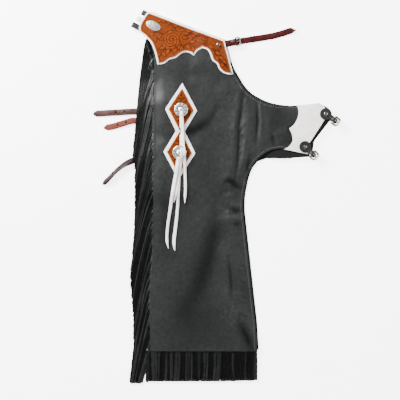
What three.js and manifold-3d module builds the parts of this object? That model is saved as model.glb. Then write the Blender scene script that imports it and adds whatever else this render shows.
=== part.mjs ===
// Chink chaps, folded in half at the back lacing and laid flat on the floor.
// The right leg is on top with its outer face up. The left leg lies under it, mirrored,
// with its outer face down. x runs from the fringe seam to the inner leg, y runs up the
// leg, z runs up from the floor, and all lengths are millimetres.
import * as THREE from 'three';
import { mergeVertices } from 'three/addons/utils/BufferGeometryUtils.js';
import Module from 'manifold-3d';

const wasm = await Module();
wasm.setup();

// Leg
const legLength = 887; // top of the yoke to the stitched hem
const hemWidth = 279; // fringe seam to the inner edge, at the hem
const flapLength = 216; // inner leg to the end of the thigh flap
const flapDepth = 127; // top to bottom of the thigh flap
const flapTop = 244; // top of the yoke down to the flap's upper edge
const innerThigh = 242; // fringe seam to the narrowest place of the inner leg
const underReach = 8; // how much further the lower leg's flap lies spread
const underShift = 5; // the lower leg peeks out by this, to the right and up
const underTuck = 8; // the upper corner of its flap lies this much lower
const underDroop = 22; // the lower edge of its flap hangs out by this at most
const underHem = 8; // and by this all along

// Leathers and the clearance between pieces that touch
const gap = 0.3;
const hide = 2;
const fringeHide = 1.6;
const underlay = 1.4;
const tooling = 2.4;
const strapLeather = 3;
const thongLeather = 1.6;

// Yoke
const yokeWidth = 246;
const yokeDepth = 163;
const yokeLap = 29; // how far the yoke reaches past the fringe seam
const yokeBorder = 4.6;
const plateLength = 39;
const plateWidth = 22;
const plateThickness = 1.6;
const plateTurn = -24; // degrees
const rivetDiameter = 9.4;
const rivetHeight = 2;

// Double diamond
const diamondAcross = 81; // fringe seam to the middle of the upper diamond
const diamondDown = 257; // top of the yoke to the middle of the upper diamond
const diamondPitch = 111;
const diamondWidth = 83;
const diamondHeight = 142;
const diamondWaist = 23;
const diamondLean = -2.3; // degrees
const insetWidth = 62;
const insetHeight = 108;
const conchoDiameter = 36;
const conchoEdge = 1.4;
const conchoDome = 2.4;
const conchoScallops = 10;
const thongWidth = 9.6;

// Fringe
const fringeLength = 232;
const fringeSlant = 12.5; // degrees from straight down
const fringeStrips = 16;
const fringeSlit = 1.2;
const fringeTilt = 1.5; // how much one edge of a strip rides over the next strip
const headingWidth = 10;
const hemFringeLength = 76;
const hemStrips = 14;

// Straps and buckles
const strapWidth = 16.8;
const strapRoot = 26; // length of a strap that is riveted inside the seam
const tabRadius = 15.5;
const tabNeck = 12.6;
const tabReach = 25; // centre of the tab's round end to the buckle's heel bar
const buckleWindow = 13;
const buckleInside = 17;
const buckleBar = 2.8;
const loopWall = 1.7;
const prongWidth = 2.4;
const frontStrapLength = 208;
const frontStrapDrop = 89; // top of the yoke down to the front strap
const frontBuckleReach = 52; // length of the short strap past the yoke's rivet
const laceWidth = 14;
const laceLeather = 2.4;

// Colours
const finish = {
  black: { color: 0x2c2d2c, roughness: 0.55, metalness: 0 },
  white: { color: 0xf5f2ee, roughness: 0.6, metalness: 0 },
  tan: { color: 0xb85f22, roughness: 0.45, metalness: 0 },
  burgundy: { color: 0x5c1c20, roughness: 0.4, metalness: 0 },
  mauve: { color: 0x7f5a55, roughness: 0.5, metalness: 0 },
  flesh: { color: 0xc05a45, roughness: 0.8, metalness: 0 },
  silver: { color: 0xd8d8d6, roughness: 0.3, metalness: 1 },
  nickel: { color: 0xc9c4bb, roughness: 0.25, metalness: 1 },
};

// Outlines. down is a share of legLength, across of hemWidth, out of flapLength and
// drop of flapDepth. A row with corner: true ends one smooth run and starts the next.
const seamEdge = [
  { across: 0, down: 1, corner: true },
  { across: -0.005, down: 0.836 },
  { across: 0.023, down: 0.689 },
  { across: 0.023, down: 0.525 },
  { across: 0.033, down: 0.349 },
  { across: 0.037, down: 0.164 },
  { across: 0.02, down: 0.114 },
  { across: -0.015, down: 0.08, corner: true },
  { across: 0.03, down: 0.052, corner: true },
  { across: 0.6, down: 0.105, corner: true },
];
const flapUpperEdge = [
  { out: -0.16, drop: -0.87, corner: true },
  { out: -0.085, drop: -0.62 },
  { out: 0.04, drop: -0.296 },
  { out: 0.217, drop: -0.096 },
  { out: 0.387, drop: -0.008 },
  { out: 0.657, drop: 0.002 },
  { out: 0.902, drop: -0.045 },
  { out: 0.978, drop: 0 },
  { out: 1, drop: 0.1 },
];
const flapEnd = [
  { out: 1, drop: 0.265, corner: true },
  { out: 0.81, drop: 0.763, corner: true },
  { out: 0.783, drop: 1.008, corner: true },
];
const flapLowerEdge = [
  { out: 0.598, drop: 0.943 },
  { out: 0.429, drop: 0.886 },
  { out: 0.26, drop: 0.994 },
  { out: 0.137, drop: 1.192 },
  { out: 0.061, drop: 1.45 },
  { out: 0.016, drop: 1.8 },
];
const innerEdge = [
  { across: 0.869, down: 0.576 },
  { across: 0.893, down: 0.688 },
  { across: 0.937, down: 0.8 },
  { across: 0.981, down: 0.903 },
  { across: 1, down: 1, corner: true },
];
const patchScallops = [
  { out: 0.598, drop: 0.94 },
  { out: 0.5, drop: 0.91, corner: true },
  { out: 0.589, drop: 0.792 },
  { out: 0.6, drop: 0.65 },
  { out: 0.56, drop: 0.478, corner: true },
  { out: 0.63, drop: 0.37 },
  { out: 0.672, drop: 0.18 },
  { out: 0.661, drop: 0.01, corner: true },
];

// Yoke outline, in shares of yokeWidth and yokeDepth.
const yokeEdge = [
  { across: 0.105, down: 0.003, corner: true },
  { across: 0.902, down: 0.455, corner: true },
  { across: 1, down: 1, corner: true },
  { across: 0.922, down: 0.994 },
  { across: 0.858, down: 0.935 },
  { across: 0.825, down: 0.84, corner: true },
  { across: 0.772, down: 0.77 },
  { across: 0.744, down: 0.65 },
  { across: 0.69, down: 0.582 },
  { across: 0.632, down: 0.608 },
  { across: 0.581, down: 0.703, corner: true },
  { across: 0.54, down: 0.66 },
  { across: 0.49, down: 0.645 },
  { across: 0.445, down: 0.675 },
  { across: 0.39, down: 0.735, corner: true },
  { across: 0.32, down: 0.77 },
  { across: 0.265, down: 0.83 },
  { across: 0.196, down: 0.847, corner: true },
  { across: 0.177, down: 0.72 },
  { across: 0.157, down: 0.61 },
  { across: 0.12, down: 0.49 },
  { across: 0.06, down: 0.395 },
  { across: 0.008, down: 0.33, corner: true },
  { across: 0, down: 0.28, corner: true },
  { across: 0.016, down: 0.175 },
  { across: 0.085, down: 0.02, corner: true },
];

// Soft folds of the upper leg: ridges from one place to another, in shares as above.
// width and rise are millimetres.
const folds = [
  { across: 0.913, down: 0.226, toAcross: 0.923, toDown: 0.431, width: 15, rise: 7 },
  { across: 1.044, down: 0.264, toAcross: 1.044, toDown: 0.413, width: 15, rise: 6 },
  { across: 1.212, down: 0.33, toAcross: 1.3, toDown: 0.35, width: 32, rise: 4 },
  { across: 0.62, down: 0.2, toAcross: 0.78, toDown: 0.24, width: 34, rise: 5 },
  { across: 0.6, down: 0.37, toAcross: 0.68, toDown: 0.46, width: 38, rise: 6 },
  { across: 0.63, down: 0.553, toAcross: 0.82, toDown: 0.551, width: 14, rise: 5 },
  { across: 0.65, down: 0.613, toAcross: 0.83, toDown: 0.61, width: 14, rise: 5 },
  { across: 0.71, down: 0.68, toAcross: 0.74, toDown: 0.848, width: 20, rise: 5 },
  { across: 0.27, down: 0.68, toAcross: 0.26, toDown: 0.9, width: 48, rise: 4 },
  { across: 0.857, down: 0.89, toAcross: 0.88, toDown: 0.96, width: 22, rise: 4 },
];

// Places on the leg
const onLeg = ({ across, down }) => new THREE.Vector2(across * hemWidth, -down * legLength);
const onYoke = ({ across, down }) =>
  new THREE.Vector2(across * yokeWidth - yokeLap, -down * yokeDepth);
const radians = THREE.MathUtils.degToRad;
const { clamp, lerp, smoothstep } = THREE.MathUtils;

// The lower leg's flap lies a little spread: its upper corner is tucked in, and its lower
// edge hangs out most halfway along. spread is 0 for the upper leg and 1 for the lower.
function onFlap({ out, drop }, spread) {
  const tuck = underTuck * smoothstep(out, 0.3, 0.9) * (1 - smoothstep(drop, 0.2, 0.6));
  const halfway = Math.exp(-(((out - 0.45) / 0.2) ** 2));
  const lowerEdge = smoothstep(out, 0.1, 0.3) * smoothstep(drop, 0.76, 0.88);
  const droop = (underHem + underDroop * halfway) * lowerEdge;
  return new THREE.Vector2(
    innerThigh + out * (flapLength + spread * underReach),
    -flapTop - drop * flapDepth - spread * (tuck + droop),
  );
}

// A closed outline: rows between two corners are one smooth curve.
function outline(rows, step = 15) {
  const first = rows.findIndex((row) => row.corner);
  const turned = [...rows.slice(first), ...rows.slice(0, first), rows[first]];
  const points = [];
  let run = [turned[0].at];
  for (const row of turned.slice(1)) {
    run.push(row.at);
    if (!row.corner) continue;
    const curve = run.length > 2 ? new THREE.SplineCurve(run) : new THREE.LineCurve(...run);
    const parts = run.length > 2 ? Math.max(2, Math.round(curve.getLength() / step)) : 1;
    points.push(...curve.getSpacedPoints(parts).slice(0, -1));
    run = [row.at];
  }
  return points;
}
const placed = (rows, place, ...rest) => rows.map((row) => ({ ...row, at: place(row, ...rest) }));

// The same outline, moved inward by a distance.
function inset(points, distance) {
  const turn = Math.sign(THREE.ShapeUtils.area(points));
  return points.map((point, i) => {
    const before = points[(i + points.length - 1) % points.length];
    const after = points[(i + 1) % points.length];
    const a = point.clone().sub(before).normalize();
    const b = after.clone().sub(point).normalize();
    const normal = new THREE.Vector2(-a.y - b.y, a.x + b.x).normalize();
    const reach = distance / Math.max(0.5, normal.dot(new THREE.Vector2(-a.y, a.x)));
    return point.clone().addScaledVector(normal, turn * reach);
  });
}

function distanceToSegment(x, y, a, b) {
  const along = new THREE.Vector2(b.x - a.x, b.y - a.y);
  const share = ((x - a.x) * along.x + (y - a.y) * along.y) / Math.max(along.lengthSq(), 1e-9);
  const t = clamp(share, 0, 1);
  return Math.hypot(x - a.x - t * along.x, y - a.y - t * along.y);
}
function distanceToOutline(x, y, points) {
  let inside = false;
  let nearest = Infinity;
  points.forEach((a, i) => {
    const b = points[(i + 1) % points.length];
    nearest = Math.min(nearest, distanceToSegment(x, y, a, b));
    if (a.y > y !== b.y > y && x < a.x + ((y - a.y) * (b.x - a.x)) / (b.y - a.y)) {
      inside = !inside;
    }
  });
  return inside ? 0 : nearest;
}

const legOutline = (spread) => outline([
  ...placed(seamEdge, onLeg),
  ...placed(flapUpperEdge, onFlap, spread),
  ...placed(flapEnd, onFlap, spread),
  ...placed(flapLowerEdge, onFlap, spread),
  ...placed(innerEdge, onLeg),
], 24);
const yokeOutline = outline(placed(yokeEdge, onYoke));
const patchTop = flapUpperEdge.slice(-3).map((row, i) => ({ ...row, corner: i === 0 }));
const patchOutline = (spread) => outline([
  ...placed(patchTop, onFlap, spread),
  ...placed(flapEnd, onFlap, spread),
  ...placed(patchScallops, onFlap, spread),
]);

// The double diamond stands on a line that leans a little.
function onDiamonds(right, down) {
  const turn = radians(diamondLean);
  return new THREE.Vector2(
    diamondAcross + right * Math.cos(turn) + down * Math.sin(turn),
    -diamondDown - down * Math.cos(turn) + right * Math.sin(turn),
  );
}
function mirrored(half) {
  return [...half, ...half.toReversed().map(([right, down]) => [-right, down])];
}
const diamondHalf = [
  [0.1, -diamondHeight / 2],
  [diamondWidth / 2, 0],
  [diamondWaist / 2, diamondPitch / 2],
  [diamondWidth / 2, diamondPitch],
  [0.1, diamondPitch + diamondHeight / 2],
];
const diamondOutline = mirrored(diamondHalf).map(([right, down]) => onDiamonds(right, down));
const insetOutline = (down) => [
  onDiamonds(0, down - insetHeight / 2),
  onDiamonds(insetWidth / 2, down),
  onDiamonds(0, down + insetHeight / 2),
  onDiamonds(-insetWidth / 2, down),
];

// Heights of what is stacked on the outer face, with the clearances between the pieces.
const yokeStack = 2 * gap + underlay + tooling;
const plateStack = yokeStack + gap + plateThickness;
const conchoRadius = conchoDiameter / 2;
const conchoStack = yokeStack + gap + conchoEdge + conchoDome;
const thongStack = gap + thongLeather;
const loopRadius = buckleBar * 0.75 + gap + loopWall;
const patchStack = gap + underlay;
const tabStack = patchStack + gap + 2 * loopRadius;

// Tabs: where the round end is riveted, and the way that its buckle points.
const tabs = [
  { name: 'upper', out: 0.999, drop: 0.184, turn: -35 },
  { name: 'lower', out: 0.75, drop: 0.857, turn: -43 },
].map((row) => ({ ...row, at: onFlap(row, 0) }));

// Straps behind the thigh: rows of sections from the root outward. out is the share of
// the strap's visible length, right and up are where that section lies, as shares of the
// strap's reach and rise, and bank turns the strap onto its edge, in degrees.
const thighStraps = [
  {
    leg: 'right', name: 'thigh_strap_upper', finish: 'mauve', down: 0.292, reach: 158, fall: 7,
    stations: [
      { out: 0, fall: 0, bank: 0 },
      { out: 0.2, fall: 0.1, bank: 0 },
      { out: 0.42, fall: 0.2, bank: 0 },
      { out: 0.56, fall: 0.4, bank: 0 },
      { out: 0.74, fall: 0.6, bank: 0 },
      { out: 0.92, fall: 0.9, bank: 0 },
      { out: 1, fall: 1, bank: 0, tip: 0.35 },
    ],
  },
  {
    leg: 'left', name: 'thigh_strap_upper', finish: 'flesh', down: 0.318, reach: 130, fall: 23,
    stations: [
      { out: 0, fall: 0, bank: 0 },
      { out: 0.2, fall: 0.05, bank: 0 },
      { out: 0.45, fall: 0.1, bank: 0 },
      { out: 0.62, fall: 0.4, bank: 0 },
      { out: 0.8, fall: 0.7, bank: 0 },
      { out: 0.92, fall: 0.85, bank: 0 },
      { out: 1, fall: 1, bank: 0, tip: 0.3 },
    ],
  },
  {
    leg: 'right', name: 'thigh_strap_lower', finish: 'burgundy', down: 0.425, reach: 130, fall: 72,
    stations: [
      { out: 0, fall: 0, bank: 0 },
      { out: 0.2, fall: 0.06, bank: 4 },
      { out: 0.34, fall: 0.12, bank: 7 },
      { out: 0.45, fall: 0.18, bank: 18 },
      { out: 0.6, fall: 0.32, bank: 40 },
      { out: 0.75, fall: 0.53, bank: 52 },
      { out: 0.9, fall: 0.82, bank: 52 },
      { out: 1, fall: 1.05, bank: 50, tip: 0.4 },
    ],
  },
  {
    leg: 'left', name: 'thigh_strap_lower', finish: 'flesh', down: 0.5, reach: 30, fall: 118,
    stations: [
      { out: 0, fall: 0, bank: 0 },
      { out: 0.36, fall: 0.12, bank: 0 },
      { out: 0.7, fall: 0.36, bank: 0 },
      { out: 0.85, fall: 0.68, bank: 0 },
      { out: 1, fall: 1, bank: 0, tip: 0.4 },
    ],
  },
];
for (const strap of thighStraps) {
  const seam = onLeg({ across: 0.03, down: strap.down });
  strap.path = strap.stations.map((row) => ({
    x: seam.x - row.out * strap.reach,
    y: seam.y - row.fall * strap.fall,
    bank: row.bank,
    tip: row.tip ?? 1,
  }));
  strap.path.unshift({ x: seam.x + strapRoot, y: seam.y + 2, bank: 0, tip: 1 });
}

// The leather lies over what is under it: each row lifts it by height within reach of a
// line, and lets it down again over fade.
const coarsest = 32; // about the diagonal of a cell of the grid below
const fade = 40;
const conchos = [onDiamonds(0, 0), onDiamonds(0, diamondPitch)];
const plateAt = onYoke({ across: 0.152, down: 0.23 });
const rivetAt = onYoke({ across: 0.841, down: 0.536 });
const frontRoot = new THREE.Vector2(rivetAt.x - 6, -frontStrapDrop);
const diamondFoot = onDiamonds(0, diamondPitch + diamondHeight / 2);
const thongEnd = onDiamonds(-8, diamondPitch + 250);
const slack = 0.5; // what a straight stretch may stand off a curved face
const bumps = [
  { from: conchos[0], to: conchos[1], reach: diamondWidth / 6, height: yokeStack + thongStack },
  { from: conchos[0], to: conchos[0], reach: conchoRadius * 1.2, height: conchoStack + thongStack },
  { from: conchos[1], to: conchos[1], reach: conchoRadius * 1.2, height: conchoStack + thongStack },
  { from: conchos[1], to: diamondFoot, reach: thongWidth, height: yokeStack + thongStack },
  { from: diamondFoot, to: thongEnd, reach: thongWidth, height: thongStack + slack },
  { from: plateAt, to: plateAt, reach: plateLength / 3, height: plateStack },
  { from: rivetAt, to: rivetAt, reach: 0, height: yokeStack + gap + rivetHeight },
  ...tabs.map(({ at }) => ({ from: at, to: at, reach: tabRadius, height: tabStack })),
];
const seamLine = placed(seamEdge.slice(0, 8), onLeg).map((row) => row.at);
const hemEnds = [onLeg({ across: 0, down: 1 }), onLeg({ across: 1, down: 1 })];
const headings = 3 * gap + 2 * fringeHide + fringeTilt;
const spacers = [
  ...seamLine.slice(1).map((at, i) => (
    { from: seamLine[i], to: at, reach: headingWidth, height: headings }
  )),
  { from: hemEnds[0], to: hemEnds[1], reach: headingWidth, height: headings },
  ...thighStraps.map(({ path }) => ({
    from: path[0], to: path[1], reach: strapWidth / 2, height: headings + strapLeather + 9 * slack,
  })),
  {
    from: frontRoot, to: frontRoot, reach: strapWidth, height: 3 * gap + 2 * strapLeather,
  },
  { from: plateAt, to: plateAt, reach: plateLength, height: 2 * laceLeather + 3 * gap + 1 },
].map((row) => ({
  ...row, from: new THREE.Vector2(row.from.x, row.from.y), to: new THREE.Vector2(row.to.x, row.to.y),
}));

function lift(distance, reach) {
  return 1 - smoothstep(distance, reach + coarsest, reach + coarsest + fade);
}
function highest(rows, x, y) {
  const lifted = rows.map(({ from, to, reach, height }) =>
    height * lift(distanceToSegment(x, y, from, to), reach));
  return Math.max(...lifted);
}
// Underside of the lower leg's leather above the floor.
function lowerFace(x, y) {
  const yoke = yokeStack * lift(distanceToOutline(x, y, yokeOutline), 0);
  const patch = patchStack * lift(distanceToSegment(x, y, tabs[0].at, tabs[1].at), flapDepth / 2);
  return Math.max(yoke, patch, highest(bumps, x, y), 0);
}
// How far a place is from the flat seats of the hard pieces, from 0 on a seat to 1.
function looseness(x, y) {
  const seats = [
    ...bumps.map(({ from, to, reach }) => lift(distanceToSegment(x, y, from, to), reach - coarsest / 2)),
    lift(distanceToOutline(x, y, yokeOutline), -coarsest / 2),
  ];
  return 1 - Math.max(...seats);
}
function foldHeight(x, y) {
  let height = 0;
  for (const fold of folds) {
    const from = onLeg(fold);
    const to = onLeg({ across: fold.toAcross, down: fold.toDown });
    const share = distanceToSegment(x, y, from, to) / fold.width;
    height += fold.rise * Math.exp(-share * share);
  }
  return height;
}
// Underside of the upper leg's leather: on the lower leg, with room for what lies between.
function upperFace(x, y) {
  const rest = lowerFace(x, y) + hide + Math.max(gap, highest(spacers, x, y));
  return rest + foldHeight(x, y) * looseness(x, y);
}

// One grid for all draped leather, finer where the thigh flap folds. Both legs use it,
// so that sheets on each other keep the same clearance all over.
function gridLines(stops) {
  const lines = [stops[0].at];
  for (let i = 1; i < stops.length; i += 1) {
    const { at, cells } = stops[i];
    const start = stops[i - 1].at;
    for (let k = 1; k <= cells; k += 1) lines.push(start + ((at - start) * k) / cells);
  }
  return lines;
}
const gridX = gridLines([
  { at: -yokeLap - 30 },
  { at: 0, cells: 2 },
  { at: innerThigh - 12, cells: 7 },
  { at: innerThigh + flapLength * 0.3, cells: 5 },
  { at: innerThigh + flapLength + underReach + underShift + 20, cells: 4 },
]);
const gridY = gridLines([
  { at: -legLength - 20 },
  { at: -legLength * 0.65, cells: 6 },
  { at: -flapTop - flapDepth, cells: 6 },
  { at: -flapTop + 40, cells: 6 },
  { at: 25, cells: 6 },
]);
function onGrid(height) {
  return gridY.map((y) => gridX.map((x) => height(x, y)));
}
const lowerHeights = onGrid(lowerFace);
const upperHeights = onGrid(upperFace);

// The height of a gridded face at any place.
function heightAt(heights, x, y) {
  const i = clamp(gridX.findIndex((line) => line > x) - 1, 0, gridX.length - 2);
  const j = clamp(gridY.findIndex((line) => line > y) - 1, 0, gridY.length - 2);
  const s = (x - gridX[i]) / (gridX[i + 1] - gridX[i]);
  const t = (y - gridY[j]) / (gridY[j + 1] - gridY[j]);
  const low = lerp(heights[j][i], heights[j][i + 1], s);
  const high = lerp(heights[j + 1][i], heights[j + 1][i + 1], s);
  return lerp(low, high, t);
}

// The same, but clear of the face all over a small square: its highest or lowest place.
function clearOf(heights, x, y, reach, side) {
  const places = [-1, -0.5, 0, 0.5, 1].flatMap((right) =>
    [-1, -0.5, 0, 0.5, 1].map((up) => side * heightAt(heights, x + right * reach, y + up * reach)));
  return side * Math.max(...places);
}

// Solids
function solidOf(geometry) {
  const bare = geometry.clone();
  bare.deleteAttribute('normal');
  bare.deleteAttribute('uv');
  const merged = mergeVertices(bare, 1e-4);
  return new wasm.Manifold(new wasm.Mesh({
    numProp: 3,
    vertProperties: new Float32Array(merged.attributes.position.array),
    triVerts: new Uint32Array(merged.index.array),
  }));
}
function geometryOf(solid) {
  const mesh = solid.getMesh();
  const geometry = new THREE.BufferGeometry();
  geometry.setAttribute('position', new THREE.BufferAttribute(new Float32Array(mesh.vertProperties), 3));
  geometry.setIndex(new THREE.BufferAttribute(new Uint32Array(mesh.triVerts), 1));
  geometry.computeVertexNormals();
  return geometry;
}
function joined(solids) {
  return solids.reduce((whole, solid) => whole.add(solid));
}
function plate(points, depth, bevel = 0, holes = []) {
  const shape = new THREE.Shape(points);
  shape.holes = holes.map((hole) => new THREE.Path(hole));
  return new THREE.ExtrudeGeometry(shape, {
    depth: depth - 2 * bevel,
    bevelEnabled: bevel > 0,
    bevelThickness: bevel,
    bevelSize: bevel,
    bevelOffset: -bevel,
    bevelSegments: 1,
    curveSegments: 4,
  }).translate(0, 0, bevel);
}

// Leather cut to an outline and draped: its underside is low above the gridded face and
// its top is high above it.
function draped(points, heights, low, high) {
  const columns = gridX.length;
  const sheet = new THREE.PlaneGeometry(1, 1, columns - 1, gridY.length - 1);
  const positions = [];
  for (const offset of [high, low]) {
    for (let v = 0; v < sheet.attributes.position.count; v += 1) {
      const i = v % columns;
      const j = gridY.length - 1 - Math.floor(v / columns);
      positions.push(gridX[i], gridY[j], heights[j][i] + offset);
    }
  }
  const count = sheet.attributes.position.count;
  const top = [...sheet.index.array];
  const faces = [...top];
  for (let f = 0; f < top.length; f += 3) {
    faces.push(top[f] + count, top[f + 2] + count, top[f + 1] + count);
  }
  const rim = [];
  for (let i = 0; i < columns; i += 1) rim.push(i);
  for (let j = 1; j < gridY.length; j += 1) rim.push(j * columns + columns - 1);
  for (let i = columns - 2; i >= 0; i -= 1) rim.push((gridY.length - 1) * columns + i);
  for (let j = gridY.length - 2; j > 0; j -= 1) rim.push(j * columns);
  rim.forEach((a, k) => {
    const b = rim[(k + 1) % rim.length];
    faces.push(a, b, b + count, a, b + count, a + count);
  });
  const slab = new THREE.BufferGeometry();
  slab.setAttribute('position', new THREE.BufferAttribute(new Float32Array(positions), 3));
  slab.setIndex(faces);
  const cutter = plate(points, 400).translate(0, 0, -200);
  return solidOf(slab).intersect(solidOf(cutter));
}

// A flat strap, thong or fringe strip through stations. bank turns a station onto its
// edge, tip narrows it, and tilt lifts its right edge.
function ribbon(stations, width, thickness, tilt = 0) {
  const parts = stations.length - 1;
  const box = new THREE.BoxGeometry(1, 1, 1, 1, 1, parts);
  const position = box.attributes.position;
  for (let v = 0; v < position.count; v += 1) {
    const k = Math.round((position.getZ(v) + 0.5) * parts);
    const here = stations[k];
    const before = stations[Math.max(0, k - 1)];
    const after = stations[Math.min(parts, k + 1)];
    const along = new THREE.Vector2(after.x - before.x, after.y - before.y).normalize();
    const bank = radians(here.bank ?? 0);
    const side = position.getX(v) * width * (here.tip ?? 1);
    const up = position.getY(v) * thickness;
    const across = side * Math.cos(bank) - up * Math.sin(bank);
    const lean = side * Math.sin(bank) + up * Math.cos(bank) - (side * tilt) / width;
    position.setXYZ(v, here.x - along.y * across, here.y + along.x * across, here.z + lean);
  }
  return solidOf(box);
}

const chaps = new THREE.Group();
function add(name, solid, look) {
  const mesh = new THREE.Mesh(geometryOf(solid), new THREE.MeshStandardMaterial(finish[look]));
  mesh.name = name;
  chaps.add(mesh);
}

// The two legs: outward is the way that the outer face looks.
const legs = [
  { name: 'right', outward: 1, heights: upperHeights, face: hide, spread: 0, shift: 0 },
  { name: 'left', outward: -1, heights: lowerHeights, face: 0, spread: 1, shift: underShift },
];
function shifted(points, leg) {
  return points.map((point) => new THREE.Vector2(point.x + leg.shift, point.y + leg.shift * 0.6));
}
// A layer on the outer face of a leg, from one distance to another out of that face.
function outerLayer(leg, points, from, to) {
  const ends = [leg.face + leg.outward * from, leg.face + leg.outward * to];
  return draped(shifted(points, leg), leg.heights, Math.min(...ends), Math.max(...ends));
}
// A hard piece on the outer face: geometry stands on z = 0 and is turned over for the
// lower leg.
function outerPiece(leg, geometry, at, distance, reach, turn = 0) {
  const [spot] = shifted([at], leg);
  const piece = geometry.clone();
  if (leg.outward < 0) piece.rotateY(Math.PI).rotateZ(Math.PI);
  piece.rotateZ(leg.outward < 0 ? radians(turn) + Math.PI : radians(turn));
  const height = clearOf(leg.heights, spot.x, spot.y, reach, leg.outward) + leg.face;
  return solidOf(piece.translate(spot.x, spot.y, height + leg.outward * distance));
}

function circle(radius, sides) {
  return Array.from({ length: sides }, (_, i) => {
    const angle = (2 * Math.PI * i) / sides;
    return new THREE.Vector2(radius * Math.cos(angle), radius * Math.sin(angle));
  });
}
const rivet = new THREE.LatheGeometry([
  new THREE.Vector2(0, 0),
  new THREE.Vector2(rivetDiameter / 2, 0),
  new THREE.Vector2(rivetDiameter * 0.46, rivetHeight * 0.45),
  new THREE.Vector2(rivetDiameter * 0.3, rivetHeight * 0.85),
  new THREE.Vector2(0, rivetHeight),
], 8).rotateX(Math.PI / 2);

function concho() {
  const scallops = Array.from({ length: 2 * conchoScallops }, (_, i) => {
    const radius = (conchoDiameter / 2) * (i % 2 ? 0.92 : 1);
    const angle = (Math.PI * i) / conchoScallops;
    return new THREE.Vector2(radius * Math.cos(angle), radius * Math.sin(angle));
  });
  const disc = solidOf(plate(scallops, conchoEdge, conchoEdge * 0.3));
  const dome = solidOf(new THREE.LatheGeometry([
    new THREE.Vector2(0, conchoEdge * 0.4),
    new THREE.Vector2(conchoDiameter * 0.33, conchoEdge * 0.4),
    new THREE.Vector2(conchoDiameter * 0.31, conchoEdge + conchoDome * 0.45),
    new THREE.Vector2(conchoDiameter * 0.18, conchoEdge + conchoDome * 0.9),
    new THREE.Vector2(0, conchoEdge + conchoDome),
  ], 8).rotateX(Math.PI / 2));
  return geometryOf(disc.add(dome));
}
const conchoGeometry = concho();

function ovalPlate() {
  const rim = circle(1, 16).map((p) => new THREE.Vector2((p.x * plateLength) / 2, (p.y * plateWidth) / 2));
  return plate(rim, plateThickness, plateThickness * 0.3);
}

// Buckle: a flat frame with a window, its heel bar at x = 0, and a prong over the far bar.
const frameLength = buckleWindow + 2 * buckleBar;
const frameWidth = buckleInside + 2 * buckleBar;
function buckleFrame() {
  const half = frameWidth / 2;
  const near = -buckleBar / 2;
  const far = near + frameLength;
  const corner = buckleBar * 1.3;
  const outer = [
    [near, -half + 1], [near + 1, -half], [far - corner, -half], [far - corner * 0.3, -half + corner * 0.3],
    [far, -half + corner], [far, half - corner], [far - corner * 0.3, half - corner * 0.3],
    [far - corner, half], [near + 1, half], [near, half - 1],
  ].map(([x, y]) => new THREE.Vector2(x, y));
  const inside = buckleInside / 2;
  const hole = [
    [near + buckleBar, -inside], [far - buckleBar, -inside],
    [far - buckleBar, inside], [near + buckleBar, inside],
  ].map(([x, y]) => new THREE.Vector2(x, y));
  return plate(outer, buckleBar, buckleBar * 0.25, [hole]).translate(0, 0, -buckleBar / 2);
}
function buckle() {
  const far = frameLength - buckleBar;
  const prong = ribbon([
    { x: 0, y: 0, z: buckleBar * 0.3 },
    { x: far * 0.5, y: 0, z: buckleBar * 0.45 },
    { x: far, y: 0, z: buckleBar * 0.75 },
    { x: far + buckleBar * 0.3, y: 0, z: buckleBar * 0.6, tip: 0.6 },
  ], prongWidth, buckleBar * 0.5);
  return geometryOf(solidOf(buckleFrame()).add(prong));
}
const buckleGeometry = buckle();

// Buckle tab: a round end, a neck and a loop round the heel bar, cut for the prong.
// The heel bar is at x = 0 and the neck runs to the left.
function loopRound(width) {
  const ring = plate(circle(loopRadius, 8), width, 0, [circle(loopRadius - loopWall, 8)]);
  return solidOf(ring.translate(0, 0, -width / 2).rotateX(Math.PI / 2));
}
function buckleTab() {
  const neck = tabNeck / 2;
  const start = -loopRadius + loopWall * 0.6;
  const turn = Math.asin((neck * 1.25) / tabRadius);
  const points = [new THREE.Vector2(start, neck), new THREE.Vector2(-tabReach * 0.4, neck)];
  for (let k = 0; k <= 10; k += 1) {
    const angle = turn + ((2 * Math.PI - 2 * turn) * k) / 10;
    points.push(new THREE.Vector2(
      -tabReach + tabRadius * Math.cos(angle), tabRadius * Math.sin(angle)));
  }
  points.push(new THREE.Vector2(-tabReach * 0.4, -neck), new THREE.Vector2(start, -neck));
  const body = solidOf(plate(points, strapLeather).translate(0, 0, -loopRadius));
  const slot = new THREE.BoxGeometry(3 * loopRadius, prongWidth + 2 * gap, 3 * loopRadius);
  return geometryOf(body.add(loopRound(tabNeck)).subtract(solidOf(slot.translate(loopRadius, 0, 0))));
}
const tabGeometry = buckleTab();

// Thigh straps lie between the legs, over the lower fringe, and come down to the floor.
const overFringe = fringeHide + fringeTilt + gap;
for (const strap of thighStraps) {
  const between = hide + fringeHide + fringeTilt / 2 + 2 * gap;
  const seamX = onLeg({ across: 0.03, down: strap.down }).x;
  for (const row of strap.path) {
    const inside = clearOf(lowerHeights, row.x, row.y, strapWidth * 0.6, 1) + between;
    const nearSeam = 1 - smoothstep(seamX - row.x, 12, 36);
    const flat = lerp(overFringe, inside, nearSeam);
    const beyond = smoothstep(seamX - row.x, 70, 92);
    const stand = Math.sin(radians(row.bank)) * strapWidth * row.tip;
    row.low = flat * (1 - beyond);
    row.top = row.low + stand + strapLeather;
    row.z = (row.low + row.top) / 2;
  }
}
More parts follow.
